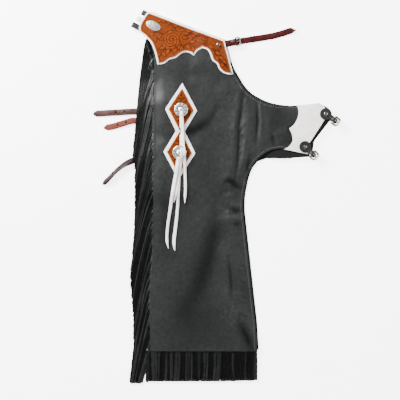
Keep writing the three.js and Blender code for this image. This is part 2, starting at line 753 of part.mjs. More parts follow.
// Fringe: strips side by side on a heading, each riding a little over the next. The
// upper leg's strips lie on the lower leg's, and over the straps between them.
function stripHeight(leg, x, y) {
  const middle = (fringeHide + fringeTilt) / 2;
  if (leg.outward < 0) return middle;
  const tops = thighStraps.flatMap(({ path }) => path.slice(1).map((end, i) => {
    const distance = distanceToSegment(x, y, path[i], end);
    const near = 1 - smoothstep(distance, strapWidth * 2.4, strapWidth * 3.8);
    return lerp(overFringe, Math.max(end.top, path[i].top) + gap + slack, near);
  }));
  return Math.max(overFringe, ...tops) + middle;
}
const seamCurve = new THREE.SplineCurve(seamLine.toReversed());
function sideFringe(leg) {
  const level = leg.outward > 0 ? -gap - fringeHide : hide + gap;
  const edge = seamCurve.getPoints(14);
  const left = edge.map((p) => new THREE.Vector2(p.x - headingWidth * 0.6, p.y));
  const right = edge.map((p) => new THREE.Vector2(p.x + headingWidth * 0.7, p.y));
  const band = shifted([...left, ...right.toReversed()], leg);
  const heading = draped(band, leg.heights, level, level + fringeHide);
  const slant = Math.tan(radians(fringeSlant));
  const bottom = -legLength - hemFringeLength;
  const strips = [];
  for (let i = 0; i < fringeStrips; i += 1) {
    const root = seamCurve.getPointAt((i + 0.5) / fringeStrips);
    const width = (seamCurve.getLength() / fringeStrips) * slant - fringeSlit;
    const length = Math.min(fringeLength, root.y - bottom - 2 - 3 * (i % 2));
    const stations = [0, 0.14, 0.4, 0.7, 1].map((share) => {
      const fall = share * length;
      const [spot] = shifted([new THREE.Vector2(
        root.x - width / 2 - gap - fall * slant, root.y - fall)], leg);
      const atHeading = heightAt(leg.heights, spot.x, spot.y) + level + fringeHide / 2;
      const z = share === 0 ? atHeading : stripHeight(leg, spot.x, spot.y);
      return { x: spot.x, y: spot.y, z: Math.max(z, share < 0.2 ? (atHeading + z) / 2 : 0) };
    });
    strips.push(ribbon(stations, width, fringeHide, fringeTilt));
  }
  return joined([heading, ...strips]);
}
function hemFringe(leg) {
  const level = leg.outward > 0 ? -gap - fringeHide : hide + gap;
  const top = -legLength + headingWidth * 0.7;
  const [left, right] = [headingWidth, hemWidth - 2];
  const pitch = (right - left) / hemStrips;
  const heading = draped(shifted([
    new THREE.Vector2(left, top), new THREE.Vector2(right, top),
    new THREE.Vector2(right, -legLength - headingWidth * 0.5),
    new THREE.Vector2(left, -legLength - headingWidth * 0.5),
  ], leg), leg.heights, level, level + fringeHide);
  const strips = [];
  for (let i = 0; i < hemStrips; i += 1) {
    const x = left + pitch * (i + 0.5);
    const length = hemFringeLength - (i % 3) * 2;
    const stations = [0, 0.4, 1].map((share) => {
      const [spot] = shifted([new THREE.Vector2(x - share * 3, -legLength - share * length)], leg);
      const atHeading = heightAt(leg.heights, spot.x, spot.y) + level + fringeHide / 2;
      const low = stripHeight(leg, spot.x, spot.y);
      return { x: spot.x, y: spot.y, z: lerp(atHeading, low, share) };
    });
    strips.push(ribbon(stations, pitch - fringeSlit, fringeHide, 0));
  }
  return joined([heading, ...strips]);
}

// Thongs: two strands from a knot on the concho. side and down are millimetres on the
// diamonds' own line, and over is what the strand lies on there.
function thongs(leg, at, strands) {
  const solids = strands.map((strand) => ribbon(strand.map((row, k) => {
    const place = onDiamonds(row.side, at + row.down);
    const [spot, seat] = shifted([place, conchos[row.on] ?? place], leg);
    const out = row.over + gap + thongLeather / 2 + (row.off ?? 0);
    const reach = row.on === undefined ? thongWidth : conchoRadius * 0.8;
    const face = clearOf(leg.heights, seat.x, seat.y, reach, leg.outward) + leg.face;
    const tip = k === strand.length - 1 ? 0.25 : 1;
    const z = Math.max(face + leg.outward * out, thongLeather / 2);
    return { x: spot.x, y: spot.y, z, tip };
  }), thongWidth, thongLeather));
  return joined(solids);
}
const overConcho = conchoStack;
const overInset = yokeStack;
const upperStrands = [
  [
    { side: -1, down: -4, over: overConcho, on: 0 },
    { side: 0, down: conchoRadius, over: overConcho, on: 0 },
    { side: 2, down: 2.4 * conchoRadius, over: overInset, off: slack },
    { side: 4, down: diamondPitch - 1.5 * conchoRadius, over: overInset, off: 3 * slack },
    { side: 6, down: diamondPitch - conchoRadius, over: overConcho, on: 1 },
    { side: 8, down: diamondPitch + conchoRadius, over: overConcho, on: 1 },
    { side: 12.5, down: diamondPitch + 0.6 * diamondHeight / 2, over: overInset, off: slack },
    { side: 13.8, down: diamondPitch + diamondHeight / 2, over: underlay, off: slack },
    { side: 15, down: diamondPitch + 110, over: 0, off: slack },
    { side: 16, down: diamondPitch + 129, over: 0, off: slack },
  ],
];
const lowerStrands = [
  [
    { side: -9, down: conchoRadius + 2, over: overInset },
    { side: -11, down: 0.75 * diamondHeight / 2, over: overInset, off: 2 * slack },
    { side: -14, down: 1.15 * diamondHeight / 2, over: underlay, off: 3 * slack },
    { side: -17, down: 130, over: 0, off: 3 * slack },
    { side: -19, down: 170, over: 0, off: slack },
    { side: -21, down: 222, over: 0, off: slack },
    { side: -17, down: 250, over: 0, off: slack },
  ],
  [
    { side: -3, down: conchoRadius + 2, over: overInset },
    { side: -2, down: 0.75 * diamondHeight / 2, over: overInset, off: 2 * slack },
    { side: -3, down: 1.15 * diamondHeight / 2, over: underlay, off: 3 * slack },
    { side: -4, down: 130, over: 0, off: 3 * slack },
    { side: -5, down: 170, over: 0, off: slack },
    { side: -4, down: 222, over: 0, off: slack },
    { side: 0, down: 254, over: 0, off: slack },
  ],
];

for (const leg of legs) {
  const own = (piece) => `${leg.name}_${piece}`;
  const panel = legOutline(leg.spread);
  add(own('leg_panel'), draped(shifted(panel, leg), leg.heights, 0, hide), 'black');
  add(own('yoke_underlay'), outerLayer(leg, yokeOutline, gap, gap + underlay), 'white');
  const tooled = inset(yokeOutline, yokeBorder);
  add(own('yoke_tooled'), outerLayer(leg, tooled, yokeStack - tooling, yokeStack), 'tan');
  const onTooling = yokeStack + gap;
  const oval = outerPiece(leg, ovalPlate(), plateAt, onTooling, plateWidth / 2, plateTurn);
  add(own('oval_plate'), oval, 'silver');
  const cap = outerPiece(leg, rivet, rivetAt, onTooling, rivetDiameter / 2);
  add(own('yoke_rivet'), cap, 'nickel');
  add(own('diamond_underlay'), outerLayer(leg, diamondOutline, gap, gap + underlay), 'white');
  ['upper', 'lower'].forEach((place, k) => {
    const insetEdge = insetOutline(k * diamondPitch);
    const layer = outerLayer(leg, insetEdge, yokeStack - tooling, yokeStack);
    add(own(`diamond_tooled_${place}`), layer, 'tan');
    const disc = outerPiece(leg, conchoGeometry, conchos[k], yokeStack + gap, conchoRadius * 0.8);
    add(own(`concho_${place}`), disc, 'silver');
  });
  add(own('thongs_upper'), thongs(leg, 0, upperStrands), 'white');
  add(own('thongs_lower'), thongs(leg, diamondPitch, lowerStrands), 'white');
  add(own('thigh_patch'), outerLayer(leg, patchOutline(leg.spread), gap, patchStack), 'white');
  for (const tab of tabs) {
    const heel = tab.at.clone().add(new THREE.Vector2(tabReach, 0).rotateAround(
      new THREE.Vector2(), radians(tab.turn)));
    const level = clearOf(leg.heights, tab.at.x, tab.at.y, tabRadius, leg.outward) + leg.face
      + leg.outward * (patchStack + gap + loopRadius);
    const place = (geometry) => solidOf(geometry.clone().rotateX(leg.outward > 0 ? 0 : Math.PI)
      .rotateZ(radians(tab.turn)).translate(heel.x, heel.y, level));
    add(own(`buckle_tab_${tab.name}`), place(tabGeometry), 'black');
    add(own(`buckle_${tab.name}`), place(buckleGeometry), 'nickel');
    const onTab = rivet.clone().translate(-tabReach, 0, strapLeather - loopRadius + gap);
    add(own(`tab_rivet_${tab.name}`), place(onTab), 'nickel');
  }
  add(own('side_fringe'), sideFringe(leg), 'black');
  add(own('hem_fringe'), hemFringe(leg), 'black');
}

for (const strap of thighStraps) {
  add(`${strap.leg}_${strap.name}`, ribbon(strap.path, strapWidth, strapLeather), strap.finish);
}

// Front straps: the short one of the upper leg carries a buckle, and the long one of the
// lower leg lies under it with its end free.
const frontLine = [
  { along: 0, rise: 0 },
  { along: 0.16, rise: 0.14 },
  { along: 0.345, rise: 0.32 },
  { along: 0.525, rise: 0.46 },
  { along: 0.703, rise: 0.59 },
  { along: 0.847, rise: 0.77 },
  { along: 0.94, rise: 0.91 },
  { along: 1, rise: 1 },
];
const frontRise = 45;
const frontPath = new THREE.CatmullRomCurve3(frontLine.map((row) => new THREE.Vector3(
  frontRoot.x + row.along * frontStrapLength, frontRoot.y + row.rise * frontRise, 0)));
function frontStation(distance, z, tip = 1) {
  const at = frontPath.getPointAt(clamp(distance / frontPath.getLength(), 0, 1));
  return { x: at.x, y: at.y, z, tip };
}
const frontLow = heightAt(lowerHeights, frontRoot.x, frontRoot.y) + hide + gap;
const longLevel = (share) => lerp(frontLow, 0, smoothstep(share, 0.15, 0.5));
const longStrap = [0, 0.16, 0.3, 0.44, 0.58, 0.72, 0.86, 0.95, 1].map((share) => frontStation(
  share * frontPath.getLength(), longLevel(share) + strapLeather / 2, share === 1 ? 0.35 : 1));
add('front_strap', ribbon(longStrap, strapWidth, strapLeather), 'burgundy');
const shortEnd = frontBuckleReach - loopRadius + loopWall * 0.6;
const shortStrap = [0, 0.35, 0.7, 1].map((share) => {
  const along = share * shortEnd;
  const level = longLevel(along / frontPath.getLength()) + strapLeather + gap;
  return frontStation(along, level + strapLeather / 2 + gap * share);
});
const heelAt = frontStation(frontBuckleReach, 0);
const heelLevel = shortStrap[3].z - strapLeather / 2 + loopRadius;
const frontTangent = frontPath.getTangentAt(frontBuckleReach / frontPath.getLength());
const frontTurn = Math.atan2(frontTangent.y, frontTangent.x);
const place = (geometry) => solidOf(geometry.clone().rotateZ(frontTurn)
  .translate(heelAt.x, heelAt.y, heelLevel));
const frontSlot = new THREE.BoxGeometry(3 * loopRadius, prongWidth + 2 * gap, 3 * loopRadius);
const frontLoop = geometryOf(
  loopRound(strapWidth - 1).subtract(solidOf(frontSlot.translate(loopRadius * 1.4, 0, 0))));
const shortSolid = ribbon(shortStrap, strapWidth, strapLeather).add(place(frontLoop));
add('front_buckle_strap', shortSolid, 'burgundy');
add('front_buckle', place(buckleGeometry.clone().scale(0.75, 1, 1)), 'nickel');

// Lacing at the fold: leather bent round from one yoke to the other.
function bent(centre, width, reach, look, name) {
  const edge = onYoke(yokeEdge[23]).sub(onYoke(yokeEdge[25]));
  const at = onYoke(yokeEdge[25]).addScaledVector(edge, centre);
  const inner = clearOf(lowerHeights, at.x, at.y, width, 1);
  const outer = clearOf(upperHeights, at.x, at.y, width, -1) + hide;
  const tall = outer - inner;
  const radius = tall / 2;
  const profile = [];
  const depthIn = 8;
  for (let k = 0; k <= 8; k += 1) {
    const angle = Math.PI / 2 + (Math.PI * k) / 8;
    profile.push(new THREE.Vector2(-reach + radius * Math.cos(angle), radius * Math.sin(angle)));
  }
  const inward = profile.map((p) => new THREE.Vector2(
    -reach + (p.x + reach) * (1 - laceLeather / radius), p.y * (1 - laceLeather / radius)));
  const points = [
    new THREE.Vector2(depthIn, radius), ...profile, new THREE.Vector2(depthIn, -radius),
    new THREE.Vector2(depthIn, -radius + laceLeather), ...inward.toReversed(),
    new THREE.Vector2(depthIn, radius - laceLeather),
  ];
  const piece = plate(points, width).translate(0, 0, -width / 2).rotateX(Math.PI / 2);
  piece.rotateZ(Math.atan2(edge.x, -edge.y));
  add(name, solidOf(piece.translate(at.x, at.y, inner + radius)), look);
}
bent(0.08, laceWidth, 9, 'black', 'back_lace_upper');
bent(0.5, laceWidth, 14, 'white', 'back_bridge');
bent(0.92, laceWidth, 18, 'black', 'back_lace_lower');

// The origin is the middle of the bottom of the whole thing as it lies.
const bounds = new THREE.Box3().setFromObject(chaps);
const middle = bounds.getCenter(new THREE.Vector3());
chaps.position.set(-middle.x, -middle.y, -bounds.min.z);
const group = new THREE.Group();
group.add(chaps);
export default group;
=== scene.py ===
import math
import random

import bmesh
import bpy
import numpy as np
from bpy.props import FloatProperty, FloatVectorProperty, IntProperty, PointerProperty
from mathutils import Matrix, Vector, geometry, noise
from mathutils.bvhtree import BVHTree


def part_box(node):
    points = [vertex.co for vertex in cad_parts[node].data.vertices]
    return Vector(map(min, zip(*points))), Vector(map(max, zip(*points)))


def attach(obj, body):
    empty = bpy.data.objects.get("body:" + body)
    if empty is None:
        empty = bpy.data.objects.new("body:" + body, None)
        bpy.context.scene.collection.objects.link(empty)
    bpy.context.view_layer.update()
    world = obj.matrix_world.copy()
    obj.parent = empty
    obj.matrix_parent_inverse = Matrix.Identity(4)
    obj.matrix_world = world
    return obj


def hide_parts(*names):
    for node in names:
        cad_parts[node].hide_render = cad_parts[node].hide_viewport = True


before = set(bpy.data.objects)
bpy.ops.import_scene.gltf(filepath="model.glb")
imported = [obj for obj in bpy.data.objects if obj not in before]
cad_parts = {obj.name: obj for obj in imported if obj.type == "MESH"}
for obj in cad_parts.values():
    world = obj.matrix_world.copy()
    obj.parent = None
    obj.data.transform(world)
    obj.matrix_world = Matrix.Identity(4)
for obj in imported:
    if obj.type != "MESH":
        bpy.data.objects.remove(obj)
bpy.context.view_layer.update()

bl_info = {
    "name": "Fringed chaps",
    "version": (1, 0, 0),
    "blender": (4, 5, 0),
    "location": "3D View > Sidebar > Chaps",
    "description": "Leather chaps with a tooled yoke and long fringe, folded and laid flat",
    "category": "Add Mesh",
}

MM = 0.001
# The pattern is measured in millimetres across from the foot of the fringe seam and down
# from the top of the yoke. The seam bulges out past its foot.
SEAM_BULGE = 4.2
HEM = 887
PANEL_LOW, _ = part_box("right_leg_panel")
SEAM = PANEL_LOW.x + SEAM_BULGE * MM
TOP = PANEL_LOW.y + HEM * MM
# In millimetres: layers that are sewn on lie GAP off the leather under them, soft pieces
# stay FLOOR_GAP above the floor, and the carving takes up CARVING of the tooled layer.
GAP, FLOOR_GAP, CARVING = 0.3, 0.1, 0.5


def pattern(across, down):
    """The place of a point of the pattern in the frame, in metres."""
    return SEAM + np.asarray(across) * MM, TOP - np.asarray(down) * MM


def on_pattern(x, y, origin=(SEAM, TOP)):
    """How far places of the frame are across and down from an origin, in millimetres."""
    return (np.asarray(x) - origin[0]) / MM, (origin[1] - np.asarray(y)) / MM


def linear(code):
    """An sRGB hex colour as the linear values that the shader takes."""
    values = [int(code[i:i + 2], 16) / 255 for i in (1, 3, 5)]
    return [v / 12.92 if v <= 0.04045 else ((v + 0.055) / 1.055) ** 2.4 for v in values]


def tint(name, code, says):
    return FloatVectorProperty(name=name, description=says, subtype="COLOR", min=0, max=1,
                               default=linear(code))


def size(name, value, says, low, high):
    return FloatProperty(name=name, description=says + ", in millimetres", default=value,
                         min=low, max=high)


class ChapsColours(bpy.types.PropertyGroup):
    black: tint("Black hide", "#070808", "Smooth side of the leg leather")
    # The worn colour is also the painted highlight on fringe strips turned toward the light.
    black_worn_and_highlight: tint("Black hide, worn", "#292a2a", "Where the leg leather is rubbed")
    suede: tint("Flesh side", "#111111", "Napped back of the leg leather")
    white: tint("White leather", "#f7f5f1", "Borders, thongs and thigh patches")
    tan: tint("Tooled leather", "#76340f", "High parts of the tooling")
    dye: tint("Antique dye", "#2a1107", "What stays in the cuts of the tooling")
    burgundy: tint("Burgundy strap", "#3d0f10", "Front straps and lower thigh strap")
    mauve: tint("Rubbed strap", "#4b342f", "Upper thigh strap")
    flesh: tint("Strap, flesh side", "#6f3a30", "Straps that show their back")
    silver: tint("Silver", "#efefea", "Conchos and oval plates")
    nickel: tint("Nickel plate", "#93877a", "Buckles and rivets")
    floor: tint("Floor", "#ffffff", "Plain floor")


class ChapsLeather(bpy.types.PropertyGroup):
    hide: size("Leg leather", 2.0, "Thickness of the leg leather", 0.5, 5)
    border: size("Border leather", 1.4, "Thickness of the white border layer", 0.5, 4)
    tooling: size("Tooled leather", 2.4, "Thickness of the tooled layer", 1, 5)
    strap: size("Strap leather", 3.0, "Thickness of the straps", 1, 6)
    step: size("Mesh step", 4.0, "Distance between the points of a large skin", 2, 20)
    seam_inset: size("Stitch line", 5.5, "From the cut edge in to the stitches", 2, 20)
    stitch: size("Stitch", 3.6, "Length of one stitch", 1, 10)


class ChapsFringe(bpy.types.PropertyGroup):
    strip: size("Strip width", 6.4, "Width of one strip of the fringe", 2, 20)
    leather: size("Fringe leather", 1.3, "Thickness of the fringe", 0.5, 3)
    side_length: size("Side fringe", 236.0, "Length of the strips at the leg's side", 50, 400)
    hem_length: size("Hem fringe", 80.0, "Length of the strips under the hem", 20, 200)
    side_strips: IntProperty(name="Side strips", description="Strips along one leg's side",
                             default=124, min=20, max=300)
    hem_strips: IntProperty(name="Hem strips", description="Strips under one leg's hem",
                            default=43, min=10, max=100)


class ChapsTrim(bpy.types.PropertyGroup):
    border: size("Yoke border", 4.1, "Width of the white border round the tooled yoke", 2, 12)
    concho: size("Concho", 36.0, "Diameter of a concho", 20, 60)
    thong: size("Thong", 8.6, "Width of a white thong", 3, 15)
    strap: size("Strap", 16.8, "Width of a strap", 8, 30)
    rivet: size("Rivet", 9.4, "Diameter of a rivet's cap", 4, 15)


def chosen(group):
    return getattr(bpy.context.scene, "chaps_" + group)


# Meshes


def bell(distance, width):
    """How much of a fold, bead or cut is left at a distance from its line."""
    return np.exp(-(distance / width) ** 2)


def unit(rows):
    """Directions of length 1."""
    return rows / np.maximum(np.linalg.norm(rows, axis=1), 1e-12)[:, None]


def run_lengths(points):
    """How far along a run of points each of them is."""
    return np.r_[0, np.cumsum(np.linalg.norm(np.diff(points, axis=0), axis=1))]


def above_floor(points, least=FLOOR_GAP):
    """The points, lifted where they would go into the floor."""
    points[:, 2] = np.maximum(points[:, 2], least * MM)
    return points


def to_line(x, y, points):
    """Distance from places to a run of straight pieces, and how far along it they are."""
    best = np.full(np.shape(x), 1e9)
    share = np.zeros(np.shape(x))
    for i, ((ax, ay), (bx, by)) in enumerate(zip(points[:-1], points[1:])):
        dx, dy = bx - ax, by - ay
        t = np.clip(((x - ax) * dx + (y - ay) * dy) / max(dx * dx + dy * dy, 1e-12), 0, 1)
        d = np.hypot(x - ax - t * dx, y - ay - t * dy)
        share = np.where(d < best, (i + t) / (len(points) - 1), share)
        best = np.minimum(best, d)
    return best, share


def depth_inside(x, y, ring):
    """Distance from places to a closed outline, positive inside it."""
    best, inside = np.full(np.shape(x), 1e9), np.zeros(np.shape(x), bool)
    for (ax, ay), (bx, by) in zip(ring, np.roll(ring, -1, axis=0)):
        dx, dy = bx - ax, by - ay
        t = np.clip(((x - ax) * dx + (y - ay) * dy) / max(dx * dx + dy * dy, 1e-18), 0, 1)
        best = np.minimum(best, np.hypot(x - ax - t * dx, y - ay - t * dy))
        if ay != by:
            inside ^= ((ay > y) != (by > y)) & (x < ax + (y - ay) * dx / dy)
    return np.where(inside, best, -best)


def smooth_run(rows, count):
    """Rows on one smooth curve through the given rows."""
    rows = np.asarray(rows, float)
    if len(rows) < 3:
        t = np.linspace(0, 1, count)[:, None]
        return rows[0] * (1 - t) + rows[-1] * t
    gaps = np.linalg.norm(np.diff(rows[:, :2], axis=0), axis=1)
    knots = np.r_[0, np.cumsum(np.maximum(gaps, 1e-6))]
    slopes = np.gradient(rows, knots, axis=0)
    where = np.linspace(0, knots[-1], count)
    k = np.clip(np.searchsorted(knots, where, side="right") - 1, 0, len(rows) - 2)
    h = (knots[k + 1] - knots[k])[:, None]
    t = (where - knots[k])[:, None] / h
    a = (1 + 2 * t) * (1 - t) ** 2 * rows[k] + t * (1 - t) ** 2 * h * slopes[k]
    return a + t * t * (3 - 2 * t) * rows[k + 1] + t * t * (t - 1) * h * slopes[k + 1]


def cad_mesh(nodes):
    """Corners and triangles of some CAD nodes, with the doubled corners joined."""
    mesh = bmesh.new()
    for name in nodes:
        mesh.from_mesh(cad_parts[name].data)
    bmesh.ops.remove_doubles(mesh, verts=mesh.verts, dist=2e-6)
    bmesh.ops.triangulate(mesh, faces=mesh.faces)
    mesh.normal_update()
    return mesh


def cut_line(node, up, step, corner=46):
    """The outline of a flat CAD node's outer face, with a point every step millimetres and
    smoothed between its corners, which turn by more than corner degrees."""
    mesh = cad_mesh([node])
    follow = {}
    for edge in mesh.edges:
        if len(edge.link_faces) == 2:
            facing = [f.normal.z * up > 0.25 for f in edge.link_faces]
            if facing[0] != facing[1]:
                a, b = edge.verts
                follow.setdefault(a.index, []).append(b.index)
                follow.setdefault(b.index, []).append(a.index)
    spots = {v.index: (v.co.x, v.co.y) for v in mesh.verts}
    mesh.free()
    loops, seen = [], set()
    for start in follow:
        if start in seen:
            continue
        loop, here = [], start
        while here is not None:
            seen.add(here)
            loop.append(spots[here])
            here = next((n for n in follow[here] if n not in seen), None)
        loops.append(np.array(loop))
    ring = max(loops, key=lambda l: np.ptp(l[:, 0]) * np.ptp(l[:, 1]))
    if area_of(ring) < 0:
        ring = ring[::-1]
    for _ in range(3):
        a, b = ring - np.roll(ring, 1, 0), np.roll(ring, -1, 0) - ring
        length = np.hypot(*a.T) * np.hypot(*b.T)
        turn = (a[:, 0] * b[:, 1] - a[:, 1] * b[:, 0]) / np.maximum(length, 1e-12)
        keep = (np.abs(turn) > 0.02) & (np.hypot(*a.T) > 4e-4)
        ring = ring[keep]
    a, b = ring - np.roll(ring, 1, 0), np.roll(ring, -1, 0) - ring
    angle = np.degrees(np.abs(np.arctan2(a[:, 0] * b[:, 1] - a[:, 1] * b[:, 0], (a * b).sum(1))))
    corners = np.flatnonzero(angle > corner)
    if len(corners) < 1:
        corners = np.array([0])
    runs = []
    for k, first in enumerate(corners):
        last = corners[(k + 1) % len(corners)]
        count = (last - first) % len(ring) or len(ring)
        run = ring[(first + np.arange(count + 1)) % len(ring)]
        # A long straight side keeps points of its own, so that it isn't drawn into a curve.
        dense = [run[:1]]
        for a, b in zip(run, run[1:]):
            apart = float(np.hypot(*(b - a)))
            pieces = round(apart / (10 * MM)) if apart > 40 * MM else 1
            dense.append(a + (b - a) * (np.arange(1, pieces + 1) / pieces)[:, None])
        run = np.vstack(dense)
        count = max(2, round(run_lengths(run)[-1] / (step * MM)) + 1)
        runs.append(smooth_run(run, count)[:-1])
    return np.vstack(runs)


def area_of(ring):
    x, y = ring[:, 0], ring[:, 1]
    return 0.5 * float(np.sum(x * np.roll(y, -1) - y * np.roll(x, -1)))


def moved_in(ring, distance):
    """A closed outline moved inward."""
    a, b = unit(ring - np.roll(ring, 1, 0)), unit(np.roll(ring, -1, 0) - ring)
    way = unit(np.c_[-a[:, 1] - b[:, 1], a[:, 0] + b[:, 0]])
    lean = np.maximum(0.6, (way * np.c_[-a[:, 1], a[:, 0]]).sum(1))
    return ring + way * (distance / lean)[:, None]


class Heights:
    """Heights of the outer faces of some CAD nodes, read on a grid and smoothed."""

    def __init__(self, nodes, up, cell=4.0, blur=6.0):
        mesh = cad_mesh(nodes)
        tree = BVHTree.FromBMesh(mesh)
        low = np.array([min(v.co[i] for v in mesh.verts) for i in range(3)])
        high = np.array([max(v.co[i] for v in mesh.verts) for i in range(3)])
        mesh.free()
        self.cell = cell * MM
        self.low = low[:2] - 3 * self.cell
        counts = np.ceil((high[:2] - low[:2]) / self.cell).astype(int) + 7
        grid = np.full(counts, np.nan)
        start = high[2] + 0.01 if up > 0 else low[2] - 0.01
        for i in range(counts[0]):
            for j in range(counts[1]):
                spot = Vector((*(self.low + np.array([i, j]) * self.cell), start))
                hit = tree.ray_cast(spot, Vector((0, 0, -up)))
                if hit[0] is not None:
                    grid[i, j] = hit[0].z
        while np.isnan(grid).any():
            padded = np.pad(grid, 1, constant_values=np.nan)
            around = np.stack([padded[2:, 1:-1], padded[:-2, 1:-1], padded[1:-1, 2:],
                               padded[1:-1, :-2]])
            known = ~np.isnan(around)
            total = np.where(known, around, 0).sum(0)
            near = total / np.maximum(known.sum(0), 1)
            grid = np.where(np.isnan(grid) & known.any(0), near, grid)
        spread = blur / cell
        reach = int(math.ceil(2.5 * spread))
        kernel = np.exp(-0.5 * (np.arange(-reach, reach + 1) / spread) ** 2)
        kernel /= kernel.sum()
        for axis in (0, 1):
            width = [(reach, reach) if k == axis else (0, 0) for k in (0, 1)]
            wide = np.pad(grid, width, mode="edge")
            grid = np.apply_along_axis(lambda r: np.convolve(r, kernel, "valid"), axis, wide)
        self.grid = grid

    def __call__(self, x, y):
        u = np.clip((np.asarray(x) - self.low[0]) / self.cell, 0, self.grid.shape[0] - 1.001)
        v = np.clip((np.asarray(y) - self.low[1]) / self.cell, 0, self.grid.shape[1] - 1.001)
        i, j = u.astype(int), v.astype(int)
        s, t = u - i, v - j
        g = self.grid
        return ((g[i, j] * (1 - s) + g[i + 1, j] * s) * (1 - t)
                + (g[i, j + 1] * (1 - s) + g[i + 1, j + 1] * s) * t)


# Creases that the upper leg shows: points across and down, depth (below 0) or rise, width.
# fold_shade paints shade into the hide's colour along the valleys of these rows.
CREASES = [
    ([(182, 244), (150, 285), (117, 309), (70, 322), (26, 333)], -3.2, 13),
    ([(246, 190), (234, 296), (230, 374), (219, 450)], -4.5, 8),
    ([(279, 236), (281, 290), (276, 341)], -4.0, 7),
    ([(262, 235), (256, 300), (250, 348), (238, 410)], 1.5, 6),
    ([(258, 376), (250, 440)], -2.8, 6),
    ([(300, 257), (298, 300), (297, 348)], 1.6, 12),
    ([(318, 318), (326, 352)], -1.6, 7),
    ([(238, 466), (222, 453), (206, 441), (194, 450)], -3.4, 8),
    ([(196, 481), (222, 484)], 1.8, 8),
    ([(237, 521), (222, 520), (204, 511)], -2.8, 8),
    ([(200, 537), (228, 540)], 1.6, 7),
    ([(235, 557), (214, 552)], -2.2, 7),
    ([(184, 473), (172, 560), (156, 640), (125, 725), (85, 790)], -2.2, 26),
    ([(218, 621), (226, 700), (230, 803)], 2.0, 15),
    ([(205, 640), (211, 700), (214, 751)], -2.5, 5),
    ([(228, 800), (252, 850), (268, 884)], -3.3, 11),
    ([(225, 660), (248, 668)], -1.3, 4),
    ([(227, 700), (250, 712)], -1.4, 4),
    ([(226, 742), (252, 750)], -1.3, 4),
    ([(230, 786), (254, 800)], -1.2, 4),
    # The next two wide, shallow rows are mostly there to paint shade over the flap and the foot of
    # the leg, where less light falls.
    ([(290, 290), (345, 300), (410, 330)], -1.3, 50),
    ([(60, 850), (130, 820), (200, 840)], -1.0, 60),
    ([(40, 420), (44, 640)], -1.3, 18),
    ([(150, 150), (215, 175)], 1.2, 14),
]


def fine_wrinkles():
    """Short shallow wrinkles, gathered where the leather bends."""
    dice = random.Random(11)
    rows = []
    for centre, spread, lean, count in (
        ((240, 300), (34, 90), 115, 26), ((210, 500), (24, 62), 20, 14),
        ((330, 310), (60, 48), 80, 12), ((120, 620), (80, 200), 60, 16),
        ((215, 780), (40, 80), 100, 10),
    ):
        for _ in range(count):
            x, y = (dice.gauss(c, s * 0.6) for c, s in zip(centre, spread))
            angle = math.radians(lean + dice.gauss(0, 22))
            long = dice.uniform(12, 40)
            dx, dy = long * math.cos(angle), long * math.sin(angle)
            bend = dice.gauss(0, 4)
            rows.append(([(x - dx, y - dy), (x + bend, y - bend), (x + dx, y + dy)],
                         dice.choice((-1, 1)) * dice.uniform(0.25, 0.8), dice.uniform(1.8, 4)))
    return rows


WRINKLES = fine_wrinkles()


def crease_heights(x, y):
    """What the creases add to the smooth face of the upper leg, in metres."""
    across, down = on_pattern(x, y)
    total = np.zeros(np.shape(across))
    for points, rise, width in CREASES + WRINKLES:
        distance, share = to_line(across, down, points)
        ends = np.clip(np.minimum(share, 1 - share) * 5 + 0.35, 0, 1)
        shape = bell(distance, width)
        if rise < 0:
            # A valley lies between two swells, and so doesn't cut into the leg below.
            shape = shape - 1.1 * bell(distance, 2.4 * width)
        total += rise * ends * shape
    # The hide is flat under the yoke and the diamonds, which are sewn down on it.
    calm = np.clip((down - 150 - 0.25 * (across - 100)) / 50, 0, 1)
    on_diamonds, _ = to_line(across, down, [(80, 190), (76, 440)])
    calm = calm * (0.25 + 0.75 * np.clip((on_diamonds - 20) / 40, 0, 1))
    return total * calm * MM


def fold_shade(x, y):
    """Painted shade for the creases of the upper leg, from 0 to 1: darker along the valleys, held
    back on the rises.
    """
    across, down = on_pattern(x, y)
    total = np.zeros(np.shape(across))
    for points, rise, width in CREASES:
        distance, share = to_line(across, down, points)
        ends = 0.3 + 0.7 * np.clip(np.minimum(share, 1 - share) * 3, 0, 1)
        depth = min(0.95, -rise / 2.8) if rise < 0 else -0.4
        total += ends * depth * bell(distance, width)
    return np.clip(total, 0, 1)


class Leg:
    """One leg: its name, which way its outer face looks, its outline and its heights."""

    def __init__(self, name, up):
        self.name, self.up = name, up
        self.ring = cut_line(self.node("leg_panel"), up, 3.0, corner=18)
        self.skin_heights = Heights([self.node("leg_panel")], up)

    def node(self, piece):
        return f"{self.name}_{piece}"

    def face(self, x, y, out=0.0):
        """Height of the outer face, or of places some millimetres out from it."""
        z = self.skin_heights(x, y) + self.up * out * MM
        if self.up > 0:
            z = z + crease_heights(x, y)
        return np.maximum(z, 2 * FLOOR_GAP * MM)


LEGS = []


def legs():
    if not LEGS:
        LEGS.extend((Leg("right", 1), Leg("left", -1)))
    return LEGS


def sound_mesh(name, points, faces):
    """A mesh whose faces all look outward."""
    mesh = bpy.data.meshes.new(name)
    mesh.from_pydata([tuple(map(float, p)) for p in points], [], faces)
    work = bmesh.new()
    work.from_mesh(mesh)
    bmesh.ops.recalc_face_normals(work, faces=work.faces)
    work.to_mesh(mesh)
    work.free()
    return mesh


def smooth_shaded(mesh):
    mesh.polygons.foreach_set("use_smooth", [True] * len(mesh.polygons))


def placed(name, data):
    """A new object in the scene."""
    thing = bpy.data.objects.new(name, data)
    bpy.context.scene.collection.objects.link(thing)
    return thing


